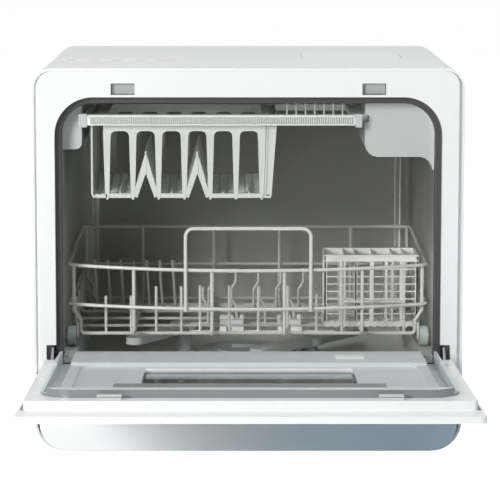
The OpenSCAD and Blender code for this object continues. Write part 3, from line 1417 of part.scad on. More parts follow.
module cover(x_in, low, r) difference() {
    along_y(cover_y, cover_y + cover_d) cover_outline(x_in, low, r);
    along_y(cover_y + cover_wall, cover_y + cover_d - cover_wall) difference() {
        cover_outline(x_in + cover_wall, low + cover_wall, r);
        translate([x_in, groove_z[0] - cover_wall]) square([groove_depth + 2 * cover_wall,
            groove_z[1] - groove_z[0] + 2 * cover_wall]);
    }
    block([x_in - cut, cover_y - cut, groove_z[0]], [x_in + groove_depth, cover_y + cover_d + cut,
        groove_z[1]]);
}

module duct_cover() color("lightgray") machine() difference() {
    union() {
        cover(cover_right_x, duct_low, 13);
        // tail down the tub's wall
        along_y(cover_y, cover_y + cover_d) difference() {
            translate([tub_x - 14, duct_low - 13]) square([14, 14]);
            translate([tub_x - 15, duct_low - 14]) circle(r = 14);
        }
    }
    for (i = [0 : 4]) block([cover_right_x + 14, cover_y + 20 + i * 18, duct_low - cut],
        [cover_right_x + 42, cover_y + 26 + i * 18, duct_low + 3]);
}

module tray_bracket() color("lightgray") machine() mirror([1, 0, 0]) cover(cover_left_x, bracket_low, 6);

cabinet_shell();
front_fascia();
kick_panel();
base_pan();
rear_panel();
feet();
tub();
tub_gasket();
sump();
filter_plate();
spray_manifold();
rack_rails();
tray_bracket();
duct_cover();
latch_housings();
hinge_brackets();
wash_pump();
drain_pump();
heater();
fan_housing();
control_board();
control_panel();
water_ports();
cord_gland();
cabinet_screws();
door_outer_panel();
door_inner_frame();
door_liner();
window_panes();
window_seal();
drip_strip();
latch_strikes();
liner_tab();
wheel_stops();
hinge_arms();
hinge_pins();
door_screws();
rack_frame();
rack_handle();
fixed_tines();
wheel_pins();
tine_clips();
tine_row_front();
tine_row_back();
wheel_front_left();
wheel_front_right();
wheel_rear_left();
wheel_rear_right();
cutlery_basket();
upper_tray();
glass_shelf();
tray_clips();
spray_arm_left();
spray_arm_right();
filter_cup();
filler_lid();
latch_catch_left();
latch_catch_right();
wash_rotor();
fan_wheel();
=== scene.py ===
"""A countertop dishwasher with its door down: cabinet, tub, sliding rack, upper tray and wash system."""
import json
from math import cos, pi, radians, sin

import bmesh
import bpy
from mathutils import Matrix, Vector

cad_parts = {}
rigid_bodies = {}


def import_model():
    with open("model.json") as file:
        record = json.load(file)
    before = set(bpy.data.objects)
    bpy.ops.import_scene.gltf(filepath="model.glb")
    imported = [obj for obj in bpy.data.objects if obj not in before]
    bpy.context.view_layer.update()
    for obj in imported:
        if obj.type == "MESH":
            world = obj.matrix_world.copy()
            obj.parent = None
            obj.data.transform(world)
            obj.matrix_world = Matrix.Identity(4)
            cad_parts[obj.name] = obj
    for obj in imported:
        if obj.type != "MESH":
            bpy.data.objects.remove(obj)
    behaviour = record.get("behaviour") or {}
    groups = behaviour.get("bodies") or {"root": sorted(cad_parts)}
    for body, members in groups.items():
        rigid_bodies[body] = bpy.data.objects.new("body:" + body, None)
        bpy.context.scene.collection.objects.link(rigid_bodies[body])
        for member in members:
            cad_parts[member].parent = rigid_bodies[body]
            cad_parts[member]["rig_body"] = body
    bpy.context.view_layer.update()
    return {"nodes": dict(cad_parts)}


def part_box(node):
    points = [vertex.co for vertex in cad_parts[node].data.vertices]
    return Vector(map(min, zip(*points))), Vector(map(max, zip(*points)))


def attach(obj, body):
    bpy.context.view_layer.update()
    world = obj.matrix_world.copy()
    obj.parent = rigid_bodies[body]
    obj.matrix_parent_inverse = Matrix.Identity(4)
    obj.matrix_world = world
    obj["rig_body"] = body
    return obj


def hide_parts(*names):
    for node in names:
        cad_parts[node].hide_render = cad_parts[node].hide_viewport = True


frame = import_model()
nodes = frame["nodes"]

# ---- Camera ----
# A long lens from the front, a little above the machine and tilted down,
# with the frame shifted so that the upright edges stay close to upright.
tilt_down = 0.12282
lens = bpy.data.cameras.new("camera")
lens.lens = 168.72
lens.shift_x = 0.03645
lens.shift_y = -0.12
camera = bpy.data.objects.new("camera", lens)
camera.location = (-0.0161, -2.2858, 0.5447)
camera.rotation_euler = (pi / 2 - tilt_down, 0, 0)
bpy.context.scene.collection.objects.link(camera)
bpy.context.scene.camera = camera
bpy.context.scene.view_settings.view_transform = "Standard"


# ---- Studio ----
# A pale table in front of a white backdrop, with a soft lamp at the front
# left, a broad one above and a weak one at the right. Metal and glass mirror
# a room that is dim in front, where nothing stands.
def linear(code):
    """A colour written as #rrggbb, as the shader's linear red, green, blue and alpha."""
    parts = [int(code[i : i + 2], 16) / 255 for i in (1, 3, 5)]
    return [c / 12.92 if c < 0.04045 else ((c + 0.055) / 1.055) ** 2.4 for c in parts] + [1]


def seen(tree, lit, mirrored, shown):
    """Mixes three shaders: lit for diffuse light, mirrored for metal and glass, shown for the eye."""
    path = tree.nodes.new("ShaderNodeLightPath")
    bounce = tree.nodes.new("ShaderNodeMath")
    bounce.operation = "MAXIMUM"
    tree.links.new(path.outputs["Is Glossy Ray"], bounce.inputs[0])
    tree.links.new(path.outputs["Is Transmission Ray"], bounce.inputs[1])
    inner = tree.nodes.new("ShaderNodeMixShader")
    tree.links.new(bounce.outputs[0], inner.inputs["Fac"])
    tree.links.new(lit, inner.inputs[1])
    tree.links.new(mirrored, inner.inputs[2])
    outer = tree.nodes.new("ShaderNodeMixShader")
    tree.links.new(path.outputs["Is Camera Ray"], outer.inputs["Fac"])
    tree.links.new(inner.outputs[0], outer.inputs[1])
    tree.links.new(shown, outer.inputs[2])
    return outer.outputs[0]


sky = bpy.data.worlds.new("sky")
bpy.context.scene.world = sky
sky.use_nodes = True
sky_nodes = sky.node_tree.nodes
sky_nodes.clear()
ambient = sky_nodes.new("ShaderNodeBackground")
ambient.inputs["Strength"].default_value = 0.21
backdrop = sky_nodes.new("ShaderNodeBackground")
room = sky_nodes.new("ShaderNodeBackground")
for light in (ambient, backdrop):
    light.inputs["Color"].default_value = (1, 1, 1, 1)
room_place = sky_nodes.new("ShaderNodeTexCoord")
room_axes = sky_nodes.new("ShaderNodeSeparateXYZ")
room_ramp = sky_nodes.new("ShaderNodeMapRange")
room_ramp.inputs["From Min"].default_value = -0.75
room_ramp.inputs["From Max"].default_value = 0.1
room_ramp.inputs["To Min"].default_value = 0.06
room_ramp.inputs["To Max"].default_value = 1.0
sky.node_tree.links.new(room_place.outputs["Generated"], room_axes.inputs[0])
sky.node_tree.links.new(room_axes.outputs["Y"], room_ramp.inputs["Value"])
sky.node_tree.links.new(room_ramp.outputs["Result"], room.inputs["Strength"])
sky_out = sky_nodes.new("ShaderNodeOutputWorld")
mixed = seen(sky.node_tree, ambient.outputs[0], room.outputs[0], backdrop.outputs[0])
sky.node_tree.links.new(mixed, sky_out.inputs["Surface"])

build = bmesh.new()
bmesh.ops.create_circle(build, cap_ends=True, segments=64, radius=6)
table_mesh = bpy.data.meshes.new("table")
build.to_mesh(table_mesh)
build.free()
table = bpy.data.objects.new("table", table_mesh)
bpy.context.scene.collection.objects.link(table)
table_top = bpy.data.materials.new("table_top")
table_top.use_nodes = True
top_tree = table_top.node_tree
top_shader = top_tree.nodes["Principled BSDF"]
top_shader.inputs["Base Color"].default_value = (0.9, 0.9, 0.9, 1)
top_shader.inputs["Roughness"].default_value = 0.8
glow = top_tree.nodes.new("ShaderNodeEmission")
glow.inputs["Strength"].default_value = 1.0
glowing_top = top_tree.nodes.new("ShaderNodeAddShader")
top_tree.links.new(top_shader.outputs[0], glowing_top.inputs[0])
top_tree.links.new(glow.outputs[0], glowing_top.inputs[1])
mixed = seen(top_tree, top_shader.outputs[0], top_shader.outputs[0], glowing_top.outputs[0])
top_tree.links.new(mixed, top_tree.nodes["Material Output"].inputs["Surface"])
table_mesh.materials.append(table_top)


def soft_lamp(name, place, aim, size, watts, colour="#ffffff"):
    """A square soft box at place that faces aim."""
    light = bpy.data.lights.new(name, "AREA")
    light.size = size
    light.energy = watts
    light.color = linear(colour)[:3]
    lamp = bpy.data.objects.new(name, light)
    lamp.location = place
    lamp.rotation_euler = (Vector(aim) - Vector(place)).to_track_quat("-Z", "Y").to_euler()
    bpy.context.scene.collection.objects.link(lamp)


soft_lamp("key_lamp", (-1.5, -2.4, 1.08), (0, 0, 0.2), 0.9, 56)
soft_lamp("top_lamp", (0.2, -0.3, 2.6), (0, 0, 0.2), 1.6, 24)
soft_lamp("right_lamp", (2.4, -0.6, 1.2), (0, 0.1, 0.2), 1.4, 9, "#eaf2ff")


# ---- Cabinet shell ----
# Folded sheet steel with a satin white coat, one wrap over the top and both
# sides, with its front edge turned in behind the fascia.
def finish(name, colour, roughness=0.4, grain=0.0012, relief=0.00002, drift=0.025, stretch=(1, 1, 1),
           metallic=0.0, wear=0.06, **sockets):
    """A surface with a fine grain, a slow drift of its colour and a roughness that wanders with it."""
    material = bpy.data.materials.new(name)
    material.use_nodes = True
    tree = material.node_tree
    shader = tree.nodes["Principled BSDF"]
    place = tree.nodes.new("ShaderNodeTexCoord")
    turn = tree.nodes.new("ShaderNodeMapping")
    turn.inputs["Scale"].default_value = stretch
    fine = tree.nodes.new("ShaderNodeTexNoise")
    fine.inputs["Scale"].default_value = 1 / grain
    fine.inputs["Detail"].default_value = 3
    slow = tree.nodes.new("ShaderNodeTexNoise")
    slow.inputs["Scale"].default_value = 11
    slow.inputs["Detail"].default_value = 2
    tree.links.new(place.outputs["Object"], turn.inputs["Vector"])
    tree.links.new(turn.outputs["Vector"], fine.inputs["Vector"])
    tree.links.new(place.outputs["Object"], slow.inputs["Vector"])
    ramp = tree.nodes.new("ShaderNodeValToRGB")
    base = linear(colour)
    ramp.color_ramp.elements[0].position = 0.3
    ramp.color_ramp.elements[0].color = [c * (1 - drift) for c in base[:3]] + [1]
    ramp.color_ramp.elements[1].position = 0.7
    ramp.color_ramp.elements[1].color = [min(1, c * (1 + drift)) for c in base[:3]] + [1]
    tree.links.new(slow.outputs["Fac"], ramp.inputs["Fac"])
    tree.links.new(ramp.outputs["Color"], shader.inputs["Base Color"])
    rub = tree.nodes.new("ShaderNodeMapRange")
    rub.inputs["To Min"].default_value = max(0.02, roughness - wear)
    rub.inputs["To Max"].default_value = roughness + wear
    tree.links.new(fine.outputs["Fac"], rub.inputs["Value"])
    tree.links.new(rub.outputs["Result"], shader.inputs["Roughness"])
    bump = tree.nodes.new("ShaderNodeBump")
    bump.inputs["Strength"].default_value = 0.6
    bump.inputs["Distance"].default_value = relief
    tree.links.new(fine.outputs["Fac"], bump.inputs["Height"])
    tree.links.new(bump.outputs["Normal"], shader.inputs["Normal"])
    shader.inputs["Metallic"].default_value = metallic
    for socket, value in sockets.items():
        shader.inputs[socket.replace("_", " ")].default_value = value
    return material


def stand_in(piece, *replaced):
    """Lets a finished piece ride where its CAD node rides, and stand for it."""
    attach(piece, nodes[replaced[0]]["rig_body"])
    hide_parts(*replaced)


def softened(name, material, edge=0.0006, segments=2, sharp=30):
    """A merged copy of a CAD node whose edges are rounded off as a mould or a press leaves them."""
    mesh = nodes[name].data.copy()
    mesh.name = name + "_skin"
    build = bmesh.new()
    build.from_mesh(mesh)
    bmesh.ops.remove_doubles(build, verts=build.verts, dist=2e-6)
    bmesh.ops.dissolve_limit(build, angle_limit=radians(0.6), verts=build.verts, edges=build.edges)
    for face in build.faces:
        face.smooth = True
    build.to_mesh(mesh)
    build.free()
    mesh.set_sharp_from_angle(angle=radians(sharp))
    mesh.materials.clear()
    mesh.materials.append(material)
    piece = bpy.data.objects.new(name + "_skin", mesh)
    bpy.context.scene.collection.objects.link(piece)
    if edge:
        rounding = piece.modifiers.new("edge", "BEVEL")
        rounding.width = edge
        rounding.segments = segments
        rounding.limit_method = "ANGLE"
        rounding.angle_limit = radians(sharp)
        rounding.harden_normals = True
    stand_in(piece, name)
    return piece


coat = finish("satin_coat", "#eff0f0", 0.42, 0.0011, 0.000002, 0.01, wear=0.03,
              Coat_Weight=0.2, Coat_Roughness=0.35)
softened("cabinet_shell", coat, 0.0008)

# ---- Front fascia ----
# One injection-moulded white frame around the mouth of the tub, with two
# square holes for the door's strikes; clipped over the shell's front edge.
white_gloss = finish("white_moulding", "#f1f2f2", 0.34, 0.0016, 0.0000004, 0.008, wear=0.02,
                     Coat_Weight=0.25, Coat_Roughness=0.14)
softened("front_fascia", white_gloss, 0.0012, 3)

# ---- Kick panel ----
# The curved plinth below the door: a high-gloss white moulding with painted shade,
# a colour that darkens from white at the left to blue-grey at the right where the open door shades it.
kick_shade = finish("kick_painted_shade_gloss", "#e8ecef", 0.16, 0.004, 0.000008, 0.01,
               Coat_Weight=0.6, Coat_Roughness=0.05)
kick_shade_tree = kick_shade.node_tree
kick_shade_shader = kick_shade_tree.nodes["Principled BSDF"]
kick_shade_place = kick_shade_tree.nodes.new("ShaderNodeTexCoord")
kick_shade_axes = kick_shade_tree.nodes.new("ShaderNodeSeparateXYZ")
kick_shade_span = kick_shade_tree.nodes.new("ShaderNodeMapRange")
kick_shade_span.inputs["From Min"].default_value = -0.2
kick_shade_span.inputs["From Max"].default_value = 0.2
kick_shade_ramp = kick_shade_tree.nodes.new("ShaderNodeValToRGB")
kick_shade_ramp.color_ramp.interpolation = "B_SPLINE"
# Painted shade: the base colour darkens along X from white to blue-grey, standing for the door's shadow
# on the plinth.
kick_shade_colours = [(0.0, "#ffffff"), (0.28, "#fafcfd"), (0.5, "#e9f6fd"), (0.75, "#c1d9e7"),
                 (1.0, "#b2cbd9")]
kick_shade_ramp.color_ramp.elements[0].position, kick_shade_ramp.color_ramp.elements[1].position = 0, 1
for spot, colour in kick_shade_colours[1:-1]:
    kick_shade_ramp.color_ramp.elements.new(spot)
for stop, (spot, colour) in zip(kick_shade_ramp.color_ramp.elements, kick_shade_colours):
    stop.color = linear(colour)
kick_shade_tree.links.new(kick_shade_place.outputs["Object"], kick_shade_axes.inputs[0])
kick_shade_tree.links.new(kick_shade_axes.outputs["X"], kick_shade_span.inputs["Value"])
kick_shade_tree.links.new(kick_shade_span.outputs["Result"], kick_shade_ramp.inputs["Fac"])
kick_shade_tree.links.new(kick_shade_ramp.outputs["Color"], kick_shade_shader.inputs["Base Color"])
softened("kick_panel", kick_shade, 0.0008)

# ---- Base, back and feet ----
# A deep grey-white tray carries the whole machine on four rubber feet, and
# a ribbed panel closes the back around the two water ports and the gland.
pale_moulding = finish("pale_moulding", "#d9dbda", 0.5, 0.0009, 0.00004, 0.03)
softened("base_pan", pale_moulding, 0.0006)
softened("rear_panel", pale_moulding, 0.0005)
black_rubber = finish("black_rubber", "#343436", 0.62, 0.0007, 0.00006, 0.06, wear=0.1)
softened("feet", black_rubber, 0.0006)
port_moulding = finish("port_moulding", "#8f9191", 0.46, 0.0008, 0.00004, 0.04)
softened("water_ports", port_moulding, 0.0003)
softened("cord_gland", black_rubber, 0.0004)
zinc = finish("zinc_plate", "#b4b6b8", 0.34, 0.0005, 0.00002, 0.06, metallic=1.0, wear=0.1)
softened("cabinet_screws", zinc, 0.0002)

# ---- Touch strip ----
# A thin printed cover over the touch keys on the shell's top, flush with
# it, with plain rings, bars and dots for its marks.
strip_gloss = finish("strip_gloss", "#eef0f1", 0.14, 0.002, 0.000004, 0.01,
                     Coat_Weight=0.5, Coat_Roughness=0.05)
softened("control_panel", strip_gloss, 0.0004)
mark_ink = finish("mark_ink", "#c3c6c8", 0.4, 0.0008, 0.00001, 0.05)
low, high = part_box("control_panel")
ink_z = high.z
build = bmesh.new()


def ring(x, y, outer, inner):
    """A flat printed ring just above the strip."""
    spot = Matrix.Translation((x, y, ink_z))
    disc = bmesh.ops.create_circle(build, cap_ends=True, segments=40, radius=outer, matrix=spot)
    face = disc["verts"][0].link_faces[0]
    bmesh.ops.inset_individual(build, faces=[face], thickness=outer - inner, use_even_offset=True)
    bmesh.ops.delete(build, geom=[face], context="FACES_ONLY")


def bar(x, y, width, depth):
    """A flat printed bar just above the strip."""
    spot = Matrix.Translation((x, y, ink_z)) @ Matrix.Diagonal((width / 2, depth / 2, 1, 1))
    bmesh.ops.create_grid(build, x_segments=1, y_segments=1, size=1, matrix=spot)


key_n = 5
strip_y = (low.y + high.y) / 2
key_pitch = (high.x - low.x) / key_n
for i in range(key_n):
    x = low.x + (i + 0.5) * key_pitch
    ring(x, strip_y + 0.002, 0.0048, 0.0042)
    bar(x, strip_y - 0.0075, 0.007 - 0.001 * (i % 2), 0.0009)
    if i == 0:
        bar(x, strip_y + 0.0038, 0.0007, 0.004)
    elif i % 2:
        bar(x, strip_y + 0.002, 0.0045, 0.0007)
        bar(x, strip_y + 0.0035, 0.003, 0.0006)
    else:
        ring(x, strip_y + 0.002, 0.0022, 0.0016)
ink_film = 0.00006
bmesh.ops.solidify(build, geom=build.faces[:], thickness=ink_film)
bmesh.ops.recalc_face_normals(build, faces=build.faces)
marks_mesh = bpy.data.meshes.new("touch_marks")
build.to_mesh(marks_mesh)
build.free()
marks_mesh.materials.append(mark_ink)
marks = bpy.data.objects.new("touch_marks", marks_mesh)
bpy.context.scene.collection.objects.link(marks)
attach(marks, "cabinet")

# ---- Water filler lid ----
# A white moulded lid over the filler well, flush in the shell's top, on a
# hinge at its back edge.
softened("filler_lid", white_gloss, 0.0008)

# ---- Tub and its seal ----
# The wash chamber is deep-drawn brushed stainless steel with round corners;
# a black rubber seal sits around its mouth, pressed by the closed door.
tub_steel = finish("tub_steel", "#d8d9d6", 0.5, 0.0016, 0.00003, 0.05, (1, 1, 0.02), 1.0, 0.05)
softened("tub", tub_steel, 0)
seal_rubber = finish("seal_rubber", "#4a494b", 0.42, 0.0008, 0.00002, 0.05, wear=0.08)
softened("tub_gasket", seal_rubber, 0.0016, 3)

# ---- Sump, filter and water ways ----
# Grey mouldings under the tub's floor: the sump, its flat filter plate with
# the twist-out cup, and the pipe that feeds both spray arms.
dark_moulding = finish("dark_moulding", "#3b3c3e", 0.5, 0.0009, 0.00005, 0.05)
filter_moulding = finish("filter_moulding", "#b7baba", 0.42, 0.0009, 0.00003, 0.04)
softened("sump", dark_moulding, 0.0004)
softened("filter_plate", filter_moulding, 0)
softened("filter_cup", filter_moulding, 0)
softened("spray_manifold", filter_moulding, 0.0003)
arm_moulding = finish("arm_moulding", "#c5c8c6", 0.36, 0.0011, 0.00003, 0.03)
softened("spray_arm_left", arm_moulding, 0.0008, 3)
softened("spray_arm_right", arm_moulding, 0.0008, 3)

# ---- Machinery behind the tub ----
# Two pumps, the tube heater, the drying fan in its scroll and the control
# board, screwed into the base tray and the rear panel.
softened("wash_pump", dark_moulding, 0.0005)
softened("drain_pump", dark_moulding, 0.0005)
softened("wash_rotor", dark_moulding, 0)
tube_steel = finish("tube_steel", "#9b9a96", 0.3, 0.0006, 0.00002, 0.12, metallic=1.0)
softened("heater", tube_steel, 0)
softened("fan_housing", pale_moulding, 0.0004)
softened("fan_wheel", dark_moulding, 0)
resist = finish("solder_resist", "#1d5b36", 0.3, 0.0022, 0.00008, 0.2, (1, 3, 3))
softened("control_board", resist, 0.0001)

# ---- Latches and hinges ----
# Grey sprung catches behind the fascia's holes, and at the foot of the
# mouth two pressed steel brackets with the pins that the door turns on.
catch_moulding = finish("catch_moulding", "#a9aeab", 0.48, 0.0008, 0.00004, 0.04)
for name in ("latch_housings", "latch_catch_left", "latch_catch_right"):
    softened(name, catch_moulding, 0.0003)
hinge_steel = finish("hinge_steel", "#77787a", 0.38, 0.0006, 0.00002, 0.08, metallic=1.0, wear=0.1)
for name in ("hinge_brackets", "hinge_arms", "hinge_pins"):
    softened(name, hinge_steel, 0.0002)

# ---- Covers at the top of the tub ----
# Pale mouldings in both upper corners: the air duct at the right, a plain
# bracket at the left, each with a groove that the tray's tongues run in.
cover_moulding = finish("cover_moulding", "#c6cac8", 0.4, 0.0010, 0.00003, 0.02)
softened("duct_cover", cover_moulding, 0.0022, 3)
softened("tray_bracket", cover_moulding, 0.0018, 3)

# ---- Rack rails ----
# Grey plastic rails low on both walls, with tongues that reach out to the
# open door, so that the rack's wheels roll from one to the other.
def slab(build, near, far):
    """A block between two corners."""
    size = [b - a for a, b in zip(near, far)]
    middle = [(a + b) / 2 for a, b in zip(near, far)]
    bmesh.ops.create_cube(build, matrix=Matrix.Translation(middle) @ Matrix.Diagonal((*size, 1)))


def made(build, name, material, *replaced, edge=0.0, smooth=False):
    """The finished object of a mesh under construction."""
    mesh = bpy.data.meshes.new(name)
    for face in build.faces:
        face.smooth = smooth or edge > 0
    build.to_mesh(mesh)
    build.free()
    if smooth or edge:
        mesh.set_sharp_from_angle(angle=radians(32))
    mesh.materials.append(material)
    piece = bpy.data.objects.new(name, mesh)
    bpy.context.scene.collection.objects.link(piece)
    if edge:
        rounding = piece.modifiers.new("edge", "BEVEL")
        rounding.width = edge
        rounding.segments = 2
        rounding.limit_method = "ANGLE"
        rounding.harden_normals = True
    if replaced:
        stand_in(piece, *replaced)
    return piece


softened("rack_rails", catch_moulding, 0.0003)
apron_x, apron_half = 0.1745, 0.0058
apron_y, apron_sheet = -0.0330, 0.0006
apron_z0, apron_z1 = 0.0965, 0.1034
build = bmesh.new()
for side in (-1, 1):
    near = (side * apron_x - apron_half, apron_y, apron_z0)
    slab(build, near, (side * apron_x + apron_half, apron_y + apron_sheet, apron_z1))
aprons = made(build, "rail_aprons", cover_moulding)
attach(aprons, nodes["rack_rails"]["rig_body"])

# ---- Wire rack ----
# Steel wire, bent and spot-welded, under a pale nylon coat: the frame, its
# handle, the fixed tines and the pins for the wheels.
nylon = finish("nylon_coat", "#d6d5cf", 0.3, 0.0009, 0.00003, 0.05,
               Coat_Weight=0.3, Coat_Roughness=0.2)
wires = ("rack_frame", "rack_handle", "fixed_tines", "wheel_pins", "tine_row_front", "tine_row_back")
for name in wires:
    softened(name, nylon, 0, sharp=50)

# ---- Tine clips and wheels ----
# White snap-on clips hold the folding tines at their two angles, and four
# grey-green rollers clip on the rack's pins.
clip_moulding = finish("clip_moulding", "#eceeee", 0.34, 0.0009, 0.00002, 0.02)
softened("tine_clips", clip_moulding, 0.0005)
wheel_moulding = finish("wheel_moulding", "#b1b9b6", 0.4, 0.0009, 0.00004, 0.04)
for name in ("wheel_front_left", "wheel_front_right", "wheel_rear_left", "wheel_rear_right"):
    softened(name, wheel_moulding, 0.0006)

# ---- Cutlery basket ----
# An off-white lattice box moulded in one shot: thick uprights, thin cross
# bars, a plain rim, a scalloped foot and five walls between its rooms.
basket_moulding = finish("basket_moulding", "#eeeeea", 0.38, 0.0009, 0.00003, 0.03)
basket_wall = 0.0018
basket_rim = 0.007
basket_foot = 0.0062
basket_row_n = 8
basket_divider_shares = (0.218, 0.336, 0.519, 0.729, 0.856)
wall_columns, end_columns = 6, 4
upright_w, divider_upright_w, bar_h = 0.0027, 0.0022, 0.0013
divider_rim_half = 0.0006
rim_bead = 0.0007
floor_bar_half = 0.0008
long_bar_n, cross_bar_n = 5, 13
scallop = 0.0078
scallop_deep = 0.0007


def lattice(build, axis, start, end, across, low_z, high_z, columns, upright, bar):
    """An upright lattice wall along one axis: columns between uprights, rows between thin bars."""

    def strip(a, b, thick, z0, z1):
        near, far = [0, 0, z0], [0, 0, z1]
        near[axis], far[axis] = a, b
        near[1 - axis], far[1 - axis] = across - thick / 2, across + thick / 2
        slab(build, near, far)

    pitch = (end - start - upright) / columns
    for i in range(columns + 1):
        strip(start + i * pitch, start + i * pitch + upright, basket_wall, low_z, high_z)
    for k in range(1, basket_row_n):
        z = low_z + (high_z - low_z) * k / basket_row_n
        strip(start, end, basket_wall * 0.7, z - bar / 2, z + bar / 2)


def scalloped(build, axis, start, end, across, z0, z1):
    """A foot band along one axis whose lower edge runs in waves."""
    count = round((end - start) / scallop) * 8
    half = (end - start) / 2
    turn = Matrix.Rotation(pi / 2, 4, "X")
    if axis == 1:
        turn = Matrix.Rotation(pi / 2, 4, "Z") @ turn
    centre = [across, across, (z0 + z1) / 2]
    centre[axis] = (start + end) / 2
    spot = Matrix.Translation(centre) @ turn @ Matrix.Diagonal((half, (z1 - z0) / 2, 1, 1))
    grid = bmesh.ops.create_grid(build, x_segments=count, y_segments=1, size=1, matrix=spot)
    for vert in grid["verts"]:
        if vert.co.z < (z0 + z1) / 2:
            wave = cos(2 * pi * (vert.co[axis] - start) / scallop)
            vert.co.z += scallop_deep * (1 + wave)
    faces = {f for v in grid["verts"] for f in v.link_faces}
    bmesh.ops.solidify(build, geom=list(faces), thickness=basket_wall)


low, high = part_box("cutlery_basket")
band_z = low.z + basket_foot
rim_z = high.z - basket_rim
half_wall = basket_wall / 2
build = bmesh.new()
for y in (low.y + half_wall, high.y - half_wall):
    lattice(build, 0, low.x, high.x, y, band_z, rim_z, wall_columns, upright_w, bar_h)
    slab(build, (low.x, y - half_wall, rim_z), (high.x, y + half_wall, high.z))
for x in (low.x + half_wall, high.x - half_wall):
    lattice(build, 1, low.y, high.y, x, band_z, rim_z, end_columns, upright_w, bar_h)
    slab(build, (x - half_wall, low.y, rim_z), (x + half_wall, high.y, high.z))
for share in basket_divider_shares:
    x = low.x + share * (high.x - low.x)
    lattice(build, 1, low.y, high.y, x, band_z, rim_z, end_columns, divider_upright_w, bar_h)
    near = (x - divider_rim_half, low.y + 0.0008, rim_z)
    slab(build, near, (x + divider_rim_half, high.y - 0.0008, high.z - 0.0006))
near = (low.x - rim_bead, low.y - rim_bead, rim_z + 0.0005)
slab(build, near, (high.x + rim_bead, low.y, rim_z + 0.0016))
near = (low.x - 0.0005, low.y - 0.0006, high.z - 0.0016)
slab(build, near, (high.x + 0.0005, low.y, high.z - 0.0004))
for i in range(cross_bar_n):
    x = low.x + (i + 0.5) * (high.x - low.x) / cross_bar_n
    slab(build, (x - floor_bar_half, low.y, band_z - 0.0016), (x + floor_bar_half, high.y, band_z))
for i in range(long_bar_n):
    y = low.y + (i + 0.5) * (high.y - low.y) / long_bar_n
    near = (low.x, y - floor_bar_half, band_z - 0.0014)
    slab(build, near, (high.x, y + floor_bar_half, band_z - 0.0002))
scalloped(build, 0, low.x, high.x, low.y, low.z, band_z)
scalloped(build, 0, low.x, high.x, high.y - basket_wall, low.z, band_z)
scalloped(build, 1, low.y, high.y, low.x, low.z, band_z)
scalloped(build, 1, low.y, high.y, high.x - basket_wall, low.z, band_z)
made(build, "basket_lattice", basket_moulding, "cutlery_basket", edge=0.0002)

# ---- Upper tray ----
# A white rail with fine upright ribs on its face and a plain lip along its
# top, with side arms whose tongues slide in the covers' grooves.
tray_moulding = finish("tray_moulding", "#f0f2ee", 0.32, 0.0009, 0.00002, 0.02)
softened("upper_tray", tray_moulding, 0.0004)
softened("tray_clips", cover_moulding, 0.0007, 3)
low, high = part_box("upper_tray")
rail_x0, rail_x1 = -0.157, 0.104
rail_z0, rail_z1 = 0.3276, 0.3375
rib_pitch = 0.00215
rib_w = 0.0009
rib_out = 0.0030
rib_root = 0.0004
build = bmesh.new()
for i in range(int((rail_x1 - rail_x0 - 0.004) / rib_pitch)):
    x = rail_x0 + 0.003 + i * rib_pitch
    slab(build, (x, low.y - rib_out, rail_z0 + 0.0012), (x + rib_w, low.y + rib_root, rail_z1 - 0.0014))
for z0, z1 in ((rail_z1 - 0.0016, rail_z1 - 0.0003), (rail_z0 + 0.0002, rail_z0 + 0.0013)):
    slab(build, (rail_x0 + 0.0005, low.y - rib_out, z0), (rail_x1 - 0.0005, low.y + rib_root, z1))
ribs = made(build, "tray_ribs", tray_moulding, edge=0.0002)
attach(ribs, "tray")

# ---- Glass shelf ----
# The pleated shelf behind the rail, in one thin moulding: a comb of arches
# in front and behind, perforated floors, and two perforated ridges.
shelf_moulding = finish("shelf_moulding", "#d4d6d2", 0.36, 0.0010, 0.00003, 0.03)
low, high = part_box("glass_shelf")
leg_n = 7
leg_pitch = 0.02526
leg_half = 0.0037
first_leg_x = -0.1382
leg_x = [first_leg_x + i * leg_pitch for i in range(leg_n)]
shelf_sheet = 0.0018
shelf_floor = 0.2571
shelf_rise = 0.0080
arch_top = 0.3212
arch_r = 0.0052


def drawn_back(build, outline, y0, y1):
    """A flat outline of X and Z corners, drawn out from depth y0 to y1."""
    face = build.faces.new([build.verts.new((x, y0, z)) for x, z in outline])
    drawn = bmesh.ops.extrude_face_region(build, geom=[face])
    moved = [g for g in drawn["geom"] if isinstance(g, bmesh.types.BMVert)]
    bmesh.ops.translate(build, verts=moved, vec=(0, y1 - y0, 0))
    bmesh.ops.recalc_face_normals(build, faces=build.faces)


def comb(build, y0, y1, tip_z, foot, arch_z=arch_top):
    """A band with arches and legs that taper to small feet, between two depths."""
    spring_z = arch_z - arch_r
    arch_corner = [(arch_r * cos(k * pi / 12), arch_r * sin(k * pi / 12)) for k in range(7)]
    left_x, right_x = leg_x[0] - leg_half, leg_x[-1] + leg_half
    outline = [(left_x, high.z), (right_x, high.z), (right_x, spring_z)]
    for i in range(leg_n - 1, -1, -1):
        x, tip, foot_z = leg_x[i], foot * 0.45, shelf_floor + 0.002
        outline += [(x + foot, foot_z), (x + tip, tip_z), (x - tip, tip_z), (x - foot, foot_z)]
        if i:
            right, left = x - leg_half - arch_r, leg_x[i - 1] + leg_half + arch_r
            outline += [(right + dx, spring_z + dz) for dx, dz in arch_corner]
            outline += [(left - dx, spring_z + dz) for dx, dz in reversed(arch_corner)]
    outline.append((left_x, spring_z))
    drawn_back(build, outline, y0, y1)


